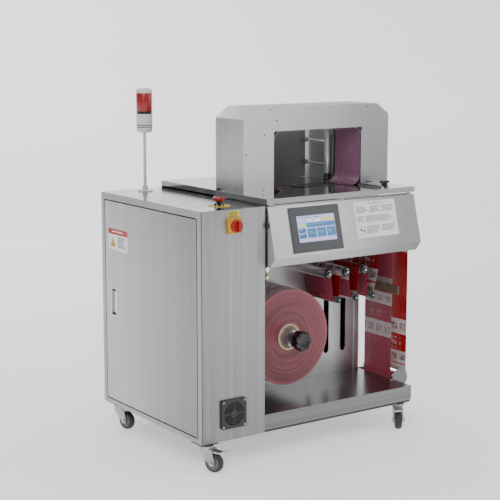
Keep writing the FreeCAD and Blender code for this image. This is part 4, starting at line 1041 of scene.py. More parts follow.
@dataclass
class Caster:
    """A swivel caster: zinc fork, grey wheel with a solid tyre, brake lever in front.

    Args:
        name: Which corner it stands at.
        radius: The wheel's radius.
        half: Half the wheel's width.
    """

    name: str
    radius: float = 31.5
    half: float = 12.0

    def build(self) -> None:
        """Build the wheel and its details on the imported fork."""
        joint = next(j for j in frame["joints"] if j["name"] == "roll_" + self.name)
        centre, axis = Vector(joint["pos_m"]), Vector(joint["axis"]).normalized()
        turn = axis.to_track_quat("Z", "Y").to_matrix()
        r, h = self.radius, self.half
        wheel = Form()
        wheel.turned([(4.1, -h - 0.9, 1), (8.6, -h - 0.9, 1), (9.0, -h + 2.6, 1), (19.0, -h + 2.9, 1),
                      (20.6, -h + 0.8, 1), (22.4, -h + 0.5, 0), (25.0, -h + 0.1, 0), (28.6, -h + 1.6, 0),
                      (30.8, -h + 5.0, 0), (r, -3.0, 0), (r, 3.0, 0), (30.8, h - 5.0, 0), (28.6, h - 1.6, 0),
                      (25.0, h - 0.1, 0), (22.4, h - 0.5, 1), (20.6, h - 0.8, 1), (19.0, h - 2.9, 1),
                      (9.0, h - 2.6, 1), (8.6, h + 0.9, 1), (4.1, h + 0.9, 1), (4.1, -h - 0.9, 1)], centre,
                     turn, 64)
        side = turn @ Vector((1, 0, 0))
        for i in range(6):
            spoke = Matrix.Rotation(math.pi * i / 3, 3, axis) @ side
            across = axis.cross(spoke)
            for face in (-1, 1):
                base = centre + axis * face * (h - 3.2) * MM + spoke * 9.0 * MM
                tip = base + spoke * 10.5 * MM
                wheel.slab([base + across * 1.5 * MM, base - across * 1.5 * MM, tip - across * 1.2 * MM,
                            tip + across * 1.2 * MM], axis * face * 1.9 * MM, 1)
        wheel.build("wheel_" + self.name, [Moulded("tyre_rubber", (0.035, 0.035, 0.037), 0.62, 0.5, dust=0.2),
                                           Moulded("wheel_core", (0.16, 0.16, 0.165), 0.42)],
                    "wheel_" + self.name, replaces=("caster_wheel_" + self.name,), slot="tread")
        nuts = Form()
        for face in (-1, 1):
            spot = centre + axis * face * 21.0 * MM
            way = turn @ (Matrix.Identity(3) if face > 0 else Matrix.Rotation(math.pi, 3, "X"))
            nuts.turned([(7.2, -4.0, 0), (7.2, 0.4, 0), (6.4, 1.2, 0), (4.2, 1.2, 0), (4.0, 2.6, 0),
                         (0.1, 2.9, 0)], spot, way, 6)
        swivel = Vector(next(j for j in frame["joints"] if j["name"] == "swivel_" + self.name)["pos_m"])
        swivel.z = DATUM.corner.z
        nuts.turned([(24.2, -12.6, 0), (25.0, -11.4, 0), (25.0, -9.6, 0), (24.0, -8.8, 0), (24.0, -7.2, 0),
                     (22.4, -4.6, 0)], swivel, Along.Z, 48)
        nuts.build("caster_nuts_" + self.name, [ZINC], "fork_" + self.name, edge=0.3)
        dress("caster_fork_" + self.name, Moulded("fork_zinc", (0.42, 0.422, 0.43), 0.34, 0.15, metal=1.0,
                                                  dust=0.14))
        if self.name.startswith("front"):
            dress("brake_pedal_" + self.name, ZINC)


# ------------------------------------------------------------------ reel and film


@dataclass
class Reel:
    """The film reel: wound roll, card core, cone chucks and lobed hand knob.

    Args:
        axis: The reel's axis, as x and z.
        radius: The roll's radius.
        core: The core's outer and inner radius.
        sides: Where the roll starts and ends along its axis.
        lobes: Lobes of the hand knob.
    """

    axis: Point = REEL_AXIS
    radius: float = ROLL_RADIUS
    core: Point = (46.5, 38.5)
    sides: Point = (FILM_FRONT, FILM_BACK)
    lobes: int = 7

    def build(self) -> None:
        """Build the reel's pieces."""
        centre = DATUM.at(self.axis[0], 0, self.axis[1])
        chance = random.Random(4)
        out, bore = self.core
        front, back = self.sides
        edges = [out + 0.2 + (self.radius - out - 0.6) * i / 60 for i in range(61)]
        profile = [(r, front + chance.uniform(0.0, 0.55), 0) for r in edges]
        profile += [(self.radius, front + 0.8, 1), (self.radius, back - 0.8, 0)]
        profile += [(r, back - chance.uniform(0.0, 0.5), 0) for r in reversed(edges)]
        roll = Form().turned(profile, centre, Along.Y, 160)
        wound = WoundFilm("roll_side", centre, (0.060, 0.005, 0.010), (0.38, 0.085, 0.115), out * MM,
                          self.radius * MM)
        outer = PrintedFilm("roll_outside", Side.PRINT, (0.20, 0.012, 0.018), (0.52, 0.42, 0.42),
                            (0.1, 0.09, 0.09))
        roll.build("film_reel", [wound, outer], "reel", sharp=60, replaces=("film_roll",), slot="film_mauve")
        tube = Form().turned([(bore + 0.1, front - 1.2, 0), (out - 0.3, front - 1.2, 0),
                              (out - 0.1, front - 0.6, 0), (out - 0.1, back, 0), (bore + 0.1, back, 0),
                              (bore + 0.1, front - 1.2, 0)], centre, Along.Y, 96)
        tube.build("reel_core", [CARD], "reel", replaces=("core_tube",), slot="card")
        dress("reel_chucks", ALUMINIUM)
        dress("reel_shaft", ZINC)

        def lobed(turn: float, height: float) -> float:
            """Deep hollows between the knob's lobes."""
            deep = 0.115 if 59.0 < height < 99.0 else 0.06
            return 1.0 - deep * (0.5 - 0.5 * math.cos(turn * self.lobes)) ** 2

        knob = Form().turned([(0.1, 62.4, 0), (17.0, 62.2, 0), (20.5, 61.0, 0), (23.0, 58.6, 0),
                              (29.0, 58.2, 0), (32.5, 60.0, 0), (34.2, 64.0, 0), (34.6, 82.0, 0),
                              (33.8, 93.0, 0), (30.0, 98.5, 0), (24.0, 100.5, 0), (20.4, 103.0, 0),
                              (20.4, 122.6, 0), (12.8, 122.6, 0), (12.8, 100.0, 0)], centre, Along.Y, 168,
                             lobed)
        knob.build("hand_knob", [BLACK_GLOSS], "reel_handknob", sharp=50, replaces=("reel_knob",),
                   slot="black_plastic")


@dataclass(frozen=True)
class Stop:
    """A round thing that the film turns on, or with radius 0 a free end of it.

    Args:
        x: Its axis across the machine.
        z: Its height.
        radius: Its radius, clearance included.
        side: 1 where the film turns left round it, -1 where it turns right.
    """

    x: float
    z: float
    radius: float
    side: int

    def leave(self, other: "Stop") -> tuple[Point, Point, Point]:
        """The tight straight to another stop: its start, its end and its left normal."""
        run_x, run_z = other.x - self.x, other.z - self.z
        bend = (other.side * other.radius - self.side * self.radius) / math.hypot(run_x, run_z)
        heading = math.atan2(run_z, run_x) - math.asin(max(-1.0, min(1.0, bend)))
        nx, nz = -math.sin(heading), math.cos(heading)
        start = (self.x - self.side * self.radius * nx, self.z - self.side * self.radius * nz)
        end = (other.x - other.side * other.radius * nx, other.z - other.side * other.radius * nz)
        return start, end, (nx, nz)


@dataclass
class FilmPath:
    """The printed film's way from the reel over every roller to the feed under the table.

    Args:
        lift: Half the film's thickness and its clearance over a roller.
        half: Half the film's thickness.
        front: The film's front edge.
        back: Its back edge.
        print_from: Height on the outer descending length where the design starts.
        strand_steps: Pieces that a stretching length is cut into.
        straight_step: Length of a fixed length's pieces.
        arc_step: Turn of an arc's pieces, in degrees.
        wide_turn: Radius over which the film always goes round on its stop's side.
        print_face: The finish of the printed face, set when the path is built.
        inner_face: The finish of the bare face, set likewise.
    """

    lift: float = 0.65
    half: float = 0.18
    front: float = FILM_FRONT
    back: float = FILM_BACK
    print_from: float = 420.0
    strand_steps: int = 28
    straight_step: float = 12.0
    arc_step: float = 7.0
    wide_turn: float = 30.0
    print_face: PrintedFilm | None = None
    inner_face: PrintedFilm | None = None

    def stops(self) -> list[tuple[str, Stop]]:
        """Every stop in order, with the body that it belongs to."""
        lift = self.lift
        bar = BAR_RADIUS + lift
        found = [("reel", Stop(*REEL_AXIS, ROLL_RADIUS + lift, -1)),
                 ("machine", Stop(*GUIDE_AXIS, 10.5 + lift, 1)),
                 ("machine", Stop(*GUIDE_BAR, 9.5 + lift, -1))]
        for upper, dancer in zip(UPPER_X, DANCER_X):
            found += [("machine", Stop(upper, UPPER_Z, UPPER_RADIUS + lift, -1)),
                      ("dancers", Stop(dancer, DANCER_Z, DANCER_RADIUS + lift, 1))]
        found += [("machine", Stop(*CORNER_BAR, bar, -1)), ("machine", Stop(*BOTTOM_BAR, 36.5 + lift, 1)),
                  ("machine", Stop(*TOP_BAR, bar, 1)), ("machine", Stop(FEED_BAR[0], 706 + lift, 0, 1))]
        return found

    def ribbon(self, line: Sequence[Point], start: float, name: str, body: str,
               finishes: Sequence[Finish] | None = None) -> bpy.types.Object:
        """Make a strip of film along a line.

        Args:
            line: Its centre line, as x and z.
            start: Distance along the film at the line's start, in metres.
            name: The object's name.
            body: The body it rides on, or "" to leave it free.
            finishes: The finishes of its left and right face.

        Returns:
            The strip.
        """
        form = Form()
        normals = []
        for i in range(len(line)):
            (ax, az), (bx, bz) = line[max(0, i - 1)], line[min(len(line) - 1, i + 1)]
            run = math.hypot(bx - ax, bz - az)
            normals.append(((az - bz) / run, (bx - ax) / run))
        columns = [self.front + (self.back - self.front) * i / 6 for i in range(7)]
        across = len(columns)
        for way, slot in ((1, 0), (-1, 1)):
            points, spots, far = [], [], start
            for i, ((x, z), (nx, nz)) in enumerate(zip(line, normals)):
                if i:
                    far += math.hypot(x - line[i - 1][0], z - line[i - 1][1]) * MM
                for y in columns:
                    points.append(DATUM.at(x + way * self.half * nx, y, z + way * self.half * nz))
                    spots.append((far, (y - self.front) * MM))
            faces = []
            for i in range(len(line) - 1):
                for k in range(across - 1):
                    a = i * across + k
                    corners = (a, a + 1, a + across + 1, a + across)
                    faces.append(corners[::-1] if way < 0 else corners)
            form.add(points, faces, slot, spots)
        side = len(line) * across
        rims = [[i * across for i in range(len(line))], [i * across + across - 1 for i in range(len(line))]]
        for number, rim in enumerate(rims):
            for a, b in zip(rim, rim[1:]):
                corners = (a, b, side + b, side + a)
                form.faces.append((corners if number == 0 else corners[::-1], 0))
        for row, flip in ((0, True), (len(line) - 1, False)):
            for k in range(across - 1):
                a = row * across + k
                corners = (a, a + 1, side + a + 1, side + a)
                form.faces.append((corners if flip else corners[::-1], 0))
        return form.build(name, finishes or [self.print_face, self.inner_face], body, mapped=True, sharp=50)

    def bend(self, stop: Stop, before: Point, after: Point) -> tuple[list[Point], float]:
        """Take the film round a stop.

        Args:
            stop: The stop.
            before: The left normal of the straight that comes in.
            after: The left normal of the straight that goes out.

        Returns:
            The centre line, and the angle that it sweeps.
        """
        first, last = math.atan2(before[1], before[0]), math.atan2(after[1], after[0])
        sweep = (last - first + math.pi) % (2 * math.pi) - math.pi
        if stop.radius > self.wide_turn and sweep * stop.side <= 0:
            sweep = sweep + 2 * math.pi * stop.side
        count = max(3, int(abs(sweep) / math.radians(self.arc_step)))
        arc = []
        for k in range(count + 1):
            turn = first + sweep * k / count
            arc.append((stop.x - stop.side * stop.radius * math.cos(turn),
                        stop.z - stop.side * stop.radius * math.sin(turn)))
        return arc, sweep

    def route(self) -> tuple[list[tuple[str, list[Point], float]], float]:
        """Lay out every length of film from the reel to the feed.

        Returns:
            The lengths, each with its body ("" where it stretches), its centre line and the distance
            along the film at its start; and the distance where the outer length reaches print_from.
            Distances are in metres.
        """
        stops = self.stops()
        lengths: list[tuple[str, list[Point], float]] = []
        far = outer_start = 0.0
        for i, ((body, here), (after, there)) in enumerate(zip(stops, stops[1:])):
            start, end, normal = here.leave(there)
            run = math.hypot(end[0] - start[0], end[1] - start[1])
            stretches = "dancers" in (body, after)
            if (here.x, here.z) == CORNER_BAR:
                outer_start = far + (start[1] - self.print_from) * MM
            steps = self.strand_steps if stretches else max(2, int(run / self.straight_step))
            straight = [(start[0] + (end[0] - start[0]) * k / steps,
                         start[1] + (end[1] - start[1]) * k / steps) for k in range(steps + 1)]
            lengths.append(("" if stretches else "machine", straight, far))
            far += run * MM
            if i + 2 < len(stops):
                arc, sweep = self.bend(there, normal, there.leave(stops[i + 2][1])[2])
                lengths.append((after, arc, far))
                far += abs(sweep) * there.radius * MM
        return lengths, outer_start

    def build(self) -> None:
        """Build every length of film; those between fixed and dancing rollers ride on no body and have their
        transforms baked.
        """
        lengths, outer_start = self.route()
        offset = outer_start % PrintedFilm.pitch
        self.print_face = PrintedFilm("film_print", Side.PRINT, (0.36, 0.001, 0.004), (0.62, 0.57, 0.575),
                                      (0.13, 0.11, 0.11), start=offset)
        self.inner_face = PrintedFilm("film_inside", Side.INSIDE, (0.33, 0.050, 0.085), (0.55, 0.46, 0.48),
                                      (0.27, 0.19, 0.21), start=offset)
        first_strand = None
        fixed_pieces = []
        for number, (body, line, start) in enumerate(lengths):
            piece = self.ribbon(line, start, "film_%02d" % number, body)
            if body:
                fixed_pieces += [piece] if body == "machine" else []
                continue
            ends = (line[0], line[-1]) if line[0][1] > line[-1][1] else (line[-1], line[0])
            high, low = (DATUM.at(spot[0], 200, spot[1]) for spot in ends)
            low.x = high.x
            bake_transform(piece)
            first_strand = first_strand or piece
        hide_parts("film_web")
        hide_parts("film_strands")


@dataclass
class Rollers:
    """The rollers, fixed bars and dancer arms that carry the film.

    Args:
        front: Where the rollers start.
    """

    front: float = 133.0

    def end_cap(self, x: float, z: float, radius: float, name: str, body: str,
                finishes: Sequence[Finish]) -> None:
        """A roller's front end: rim, bearing and shaft end."""
        form = Form()
        y = self.front
        form.turned([(radius - 0.2, y + 7, 0), (radius + 0.2, y + 1.0, 0), (radius - 0.6, y - 0.8, 0),
                     (radius * 0.70, y - 1.0, 0), (radius * 0.66, y - 0.2, 1), (radius * 0.56, y - 0.1, 0),
                     (radius * 0.53, y - 0.9, 0), (6.3, y - 0.9, 0), (6.3, y + 3, 0)], DATUM.at(x, 0, z),
                    Along.Y, 48)
        form.build(name, finishes, body, sharp=30)

    def fixed(self) -> None:
        """Build the fixed shafts and bars."""
        form = Form()
        chrome, bracket, laminate, white, black = range(5)
        for x in UPPER_X:
            form.turned([(0.1, 126.4, chrome), (3.4, 126.6, chrome), (4.2, 127.6, chrome),
                         (4.3, 129.2, black), (6.4, 129.4, black), (8.6, 129.6, black), (8.8, 132.0, black),
                         (5.9, 132.1, black), (5.9, 300, chrome)], DATUM.at(x, 0, UPPER_Z), Along.Y, 32)
        form.turned([(0.1, 129.0, chrome), (5.0, 129.2, chrome), (5.9, 130.4, chrome), (5.9, 300, chrome)],
                    DATUM.at(GUIDE_AXIS[0], 0, GUIDE_AXIS[1]), Along.Y, 24)
        form.turned([(0.1, 130.2, chrome), (8.4, 130.4, chrome), (9.4, 131.4, chrome), (9.4, 300, chrome)],
                    DATUM.at(GUIDE_BAR[0], 0, GUIDE_BAR[1]), Along.Y, 40)
        for x, z, radius, end in ((*CORNER_BAR, 15.9, 330), (*BOTTOM_BAR, 36.4, 308), (*TOP_BAR, 15.9, 300),
                                  (*FEED_BAR, 15.9, 300)):
            face = bracket if (x, z) == BOTTOM_BAR else chrome
            form.turned([(0.1, 133.6, face), (radius * 0.3, 133.4, face), (radius - 1.4, 133.2, face),
                         (radius, 134.6, chrome), (radius, end, chrome), (0.1, end, chrome)],
                        DATUM.at(x, 0, z), Along.Y, 56)
        form.block(DATUM.at(886, 301, 590), DATUM.at(907, 310, 610), bracket)
        form.block(DATUM.at(887, 299.2, 30), DATUM.at(951, 308, 59.9), bracket)
        form.block(DATUM.at(887, 300, 674), DATUM.at(981, 308, 706), bracket)
        form.block(DATUM.at(886.1, 80, 376), DATUM.at(891.8, 312, 405.9), laminate)
        for y in (92.0, 300.0):
            form.turned([(0.1, -7.6, bracket), (3.4, -7.4, bracket), (4.0, -6.2, bracket),
                         (4.0, -5.5, bracket)], DATUM.at(886.2, y, 391),
                        Matrix.Rotation(-math.pi / 2, 3, "Y"), 24)
        form.turned([(0.1, 246, white), (5.9, 246, white), (5.9, 279, white), (6.0, 279.2, black),
                     (6.0, 289, black), (0.1, 289.8, black)], DATUM.at(0, 122, 425), Along.X, 32)
        form.build("fixed_bars", [CHROME, Moulded("bracket_steel", (0.22, 0.22, 0.23), 0.45, metal=0.6),
                                  Moulded("brown_laminate", (0.125, 0.085, 0.058), 0.5, 0.3, dust=0.25),
                                  WHITE, BLACK], edge=0.4, replaces=("guide_bars",), slot="chrome_tube")

    def build(self) -> None:
        """Build the bars, end caps and dancer arms."""
        self.fixed()
        dark = Moulded("roller_rim", (0.016, 0.016, 0.018), 0.55, 0.1)
        for word, x in zip(NUMBERS, UPPER_X):
            dress("upper_roller_" + word, ALUMINIUM)
            self.end_cap(x, UPPER_Z, 16.4, "upper_end_" + word, "upper_" + word, [dark, ZINC])
        for word, x in zip(NUMBERS, DANCER_X):
            dress("dancer_roller_" + word, ALUMINIUM)
            screw = Form().turned([(0.1, 125.8, 0), (2.9, 126.0, 0), (3.3, 127.2, 0), (3.4, 128.6, 1),
                                   (6.4, 128.8, 1), (6.6, 130.7, 1), (11.0, 130.7, 1), (11.6, 131.2, 1)],
                                  DATUM.at(x, 0, DANCER_Z), Along.Y, 36)
            screw.build("dancer_screw_" + word, [ZINC, dark], "dancers")
        dress("dancer_carriage", dark)
        dress("guide_roller", ALUMINIUM)
        self.end_cap(*GUIDE_AXIS, 10.7, "guide_end", "guide", [YELLOW, WHITE])


# ------------------------------------------------------------------ sheet metal round the reel, table, arch


@dataclass
class Bay:
    """Tray, reel wall, rear cover and base frame, with the tray's bolts and the trim along the dancers'
    slots.
    """

    def build(self) -> None:
        """Dress the bay."""
        # Painted light and shade: the reel wall is lighter at its foot and darker towards its top.
        low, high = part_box("reel_wall")
        dress("reel_wall", Steel("bay_wall", (0.52, 0.525, 0.53), streak=0.03, rough=0.36,
                                 painted_light_run=(Along.Z, low.z, high.z, 1.05, 0.90)))
        dress("reel_tray", Steel("bay_tray", (0.20, 0.20, 0.207), grain=Along.X, streak=0.10, rough=0.22))
        dress("rear_cover", Steel("bay_cover", (0.46, 0.46, 0.47)))
        dress("base_frame", Moulded("frame_coat", (0.030, 0.030, 0.033), 0.5, 0.3))
        form = Form()
        low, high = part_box("reel_tray")
        for y in (low.y + 0.05, high.y - 0.05):
            form.turned([(0.1, 2.6, 0), (3.0, 2.4, 0), (5.6, 1.0, 0), (6.0, -0.2, 0)],
                        Vector((high.x, y, high.z - 0.020)), Along.X, 24)
        form.build("tray_bolts", [ZINC])
        trim = Form()
        for x in DANCER_X:
            trim.block(DATUM.at(x - 11.8, 299.2, 148), DATUM.at(x - 10.4, 300.2, 382))
            trim.block(DATUM.at(x + 10.4, 299.2, 148), DATUM.at(x + 11.8, 300.2, 382))
        trim.build("slot_trim", [BLACK], edge=0.3)


@dataclass
class Table:
    """The polished table in two plates, with its rail and a painted shadow line beside it, catch, slot line
    and anvil.

    Args:
        top: Height of the plates' upper face.
    """

    top: float = TABLE_TOP

    def build(self) -> None:
        """Dress the table and build the anvil and the dark lines, one of them a painted shadow line beside
        the rail.
        """
        dress("table_front", Steel("table_polish", (0.50, 0.502, 0.512), streak=0.03, rough=0.17,
                                   edge=0.0012))
        dress("table_rear", Steel("table_polish_rear", (0.33, 0.333, 0.345), streak=0.05, rough=0.16,
                                  edge=0.0012))
        dress("table_latch", BLACK)
        dress("seal_head", ZINC)
        z = self.top
        lines = Form()
        lines.block(DATUM.at(479, 274, z - 0.1), DATUM.at(744, 280, z + 0.9))
        # A thin black strip 5 mm over the table along the rail: a painted shadow line beside the rail's edge.
        lines.block(DATUM.at(749.6, 12, z + 4.9), DATUM.at(753.6, 139, z + 5.6))
        lines.turned([(0.1, 6.8, 0), (3.6, 6.2, 0), (4.6, 4.6, 0), (4.6, -1, 0)], DATUM.at(254.5, 292, z),
                     Along.Z, 24)
        lines.turned([(0.1, 9.8, 0), (3.6, 9.2, 0), (4.6, 7.6, 0), (4.6, 0.1, 0)], DATUM.at(751, 284, z),
                     Along.Z, 24)
        lines.build("table_lines", [BLACK], edge=0.3)
        low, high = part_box("sealing_anvil")
        anvil = Form()
        nose = 26 * MM
        anvil.slab([Vector((low.x - nose, (low.y + high.y) / 2 - 0.006, z * MM + DATUM.corner.z + 0.0002)),
                    Vector((low.x, low.y, low.z + 0.0002)), Vector((high.x, low.y, low.z + 0.0002)),
                    Vector((high.x, high.y, low.z + 0.0002)), Vector((low.x, high.y, low.z + 0.0002)),
                    Vector((low.x - nose, (low.y + high.y) / 2 + 0.006, low.z + 0.0002))],
                   Vector((0, 0, 1.9 * MM)), 0)
        for share in (0.22, 0.5, 0.78):
            y = low.y + (high.y - low.y) * share
            anvil.block(Vector((low.x + 0.006, y - 0.004, high.z - 0.0002)),
                        Vector((high.x - 0.006, y + 0.004, high.z + 0.0011)), 1)
        for x in (low.x + 0.010, high.x - 0.010):
            for y in (low.y + 0.008, high.y - 0.008):
                anvil.turned([(0.1, 1.3, 2), (2.6, 1.2, 2), (3.0, 0.0, 2)], Vector((x, y, high.z)), Along.Z,
                             20)
        anvil.build("anvil_plate", [BLACK, BLACK_GLOSS, ZINC], edge=0.3, replaces=("sealing_anvil",),
                    slot="black_metal")


@dataclass
class Arch:
    """The arch over the table with its screws, a black band along the track's rear edge that is partly
    painted shade, and loop of film.

    Args:
        screws: Where screws hold the front plate, as x and z.
        left: The film loop's left line.
        right: Its right line.
        top: Its top line.
        foot: Its lowest line.
        bend: Radius of its corners.
    """

    screws: tuple[Point, ...] = ((367, 1050), (394, 1014), (343, 967), (269, 905), (340, 784), (783, 1048))
    left: float = 381.8
    right: float = 758.2
    top: float = 978.2
    foot: float = 776.2
    bend: float = 37.2

    def loop(self, inset: float) -> list[Point]:
        """The loop's line, moved inwards by an inset, from its left foot to its right foot."""
        line = [(self.left + self.bend + 8, self.foot + inset)]
        corners = ((self.left + self.bend, self.foot + self.bend, 270, 180),
                   (self.left + self.bend, self.top - self.bend, 180, 90),
                   (self.right - self.bend, self.top - self.bend, 90, 0),
                   (self.right - self.bend, self.foot + self.bend, 0, -90))
        for x, z, first, last in corners:
            for k in range(13):
                turn = math.radians(first + (last - first) * k / 12)
                reach = self.bend - inset
                line.append((x + reach * math.cos(turn), z + reach * math.sin(turn)))
        line.append((self.right - self.bend - 8, self.foot + inset))
        return line

    def film(self) -> None:
        """Build the loop of film against the arch's track."""
        pale = PrintedFilm("arch_film", Side.INSIDE, (0.32, 0.15, 0.235), (0.56, 0.50, 0.58),
                           (0.40, 0.24, 0.36), pitch=1.60, start=0.30, clear=0.25)
        path = FilmPath(back=286.0)
        path.ribbon(self.loop(0.4), 0.0, "arch_loop", "machine", [pale, pale])

    def shaded_track_edge(self) -> None:
        """Build a black band just behind the film loop's rear edge: it stands for the track's rear edge, and
        its black is partly painted shade.
        """
        form = Form()
        outer, inner = self.loop(-0.4), self.loop(2.6)
        count = len(outer)
        points = [DATUM.at(x, y, max(z, self.foot - 0.6)) for y in (286.5, 291.0) for x,
                  z in (*outer, *inner)]
        faces = []
        for i in range(count - 1):
            a, b, c, d = i, i + 1, count + i + 1, count + i
            e, f, g, h = (v + 2 * count for v in (a, b, c, d))
            faces += [(a, b, c, d), (e, h, g, f), (a, e, f, b), (d, c, g, h)]
        faces += [(0, count, 3 * count, 2 * count), (count - 1, 3 * count - 1, 4 * count - 1, 2 * count - 1)]
        form.add(points, faces)
        form.build("arch_shaded_track_edge", [BLACK], sharp=40)

    def fasteners(self) -> None:
        """Build the screws and the small slot in the right leg."""
        low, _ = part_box("arch_front_plate")
        form = Form()
        for x, z in self.screws:
            form.turned([(0.1, -0.4, 1), (1.5, -0.5, 1), (1.6, -1.3, 0), (2.9, -1.2, 0), (3.3, -0.4, 0),
                         (3.3, 0.2, 0)], Vector((DATUM.at(x, 0, 0).x, low.y, DATUM.at(0, 0, z).z)), Along.Y,
                        24)
        form.block(DATUM.at(782, 140.5, 781.5), DATUM.at(812, 141.2, 785.5), 1)
        form.block(DATUM.at(747, 138.5, 968), DATUM.at(760, 141.2, 978.5), 1)
        form.block(DATUM.at(757.5, 138.8, 776), DATUM.at(763.5, 141.2, 783), 1)
        form.build("arch_screws", [Moulded("screw_steel", (0.30, 0.30, 0.31), 0.35, metal=1.0), BLACK])

    def build(self) -> None:
        """Dress the arch."""
        # Painted light and shade: the front plate darkens from left to right, and each plate's tone is set to
        # how light falls on it.
        low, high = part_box("arch_front_plate")
        dress("arch_front_plate", Steel("arch_face", (0.64, 0.642, 0.650), streak=0.02, cloud=0.03,
                                        rough=0.38, painted_light_run=(Along.X, low.x, high.x, 1.10, 0.52)))
        dress("arch_rear_plate", Steel("arch_back", (0.42, 0.42, 0.43), streak=0.0, rough=0.42))
        dress("arch_cover", Steel("arch_shell", (0.58, 0.58, 0.60), streak=0.03, cloud=0.03, rough=0.30))
        dress("arch_track", Steel("arch_lining", (0.36, 0.36, 0.37), streak=0.0, rough=0.45))
        self.film()
        self.shaded_track_edge()
        self.fasteners()


@dataclass
class Fence:
    """The side wall, post, rods and sliding stop behind the arch.

    Args:
        post: The post's axis, as x and y.
        rod_x: Where both rods stand across the machine.
        rods: The rods' heights.
    """

    post: Point = (748.0, 319.0)
    rod_x: float = 744.0
    rods: tuple[float, ...] = (833.0, 915.0)

    def build(self) -> None:
        """Dress the fence and build the post's foot and the rods' ends."""
        dress("fence_stand", Steel("fence_side", (0.58, 0.58, 0.59), streak=0.0, rough=0.40))
        dress("rear_fence", Steel("fence_plate", (0.36, 0.36, 0.366), streak=0.0, rough=0.45))
        x, y = self.post
        form = Form()
        form.turned([(13.0, 0.2, 0), (13.4, 3.0, 0), (13.0, 10.0, 0), (11.8, 13.0, 0), (11.8, 24.0, 0),
                     (10.2, 26.0, 0)], DATUM.at(x, y, TABLE_TOP), Along.Z, 40)
        form.build("post_foot", [BLACK])
        bushes = Form()
        for z in self.rods:
            bushes.turned([(4.2, 441, 0), (7.4, 441.6, 0), (8.0, 444, 0), (8.0, 454, 0), (6.0, 454.8, 0)],
                          DATUM.at(self.rod_x, 0, z), Along.Y, 32)
        bushes.build("fence_bushes", [BLACK], "fence")
        sleeve = Form()
        sleeve.turned([(10.3, 27, 0), (10.6, 28, 0), (10.6, 203.0, 0), (9.6, 204.8, 0), (0.1, 205.0, 0)],
                      DATUM.at(x, y, TABLE_TOP), Along.Z, 48)
        for z in self.rods:
            sleeve.turned([(4.02, 330, 0), (4.02, 486, 0)], DATUM.at(self.rod_x, 0, z), Along.Y, 24)
        sleeve.build("fence_chrome", [Moulded("bright_tube", (0.84, 0.84, 0.85), 0.22, 0.02, metal=0.85,
                                              dust=0.02)])


# ------------------------------------------------------------------ operator's panel


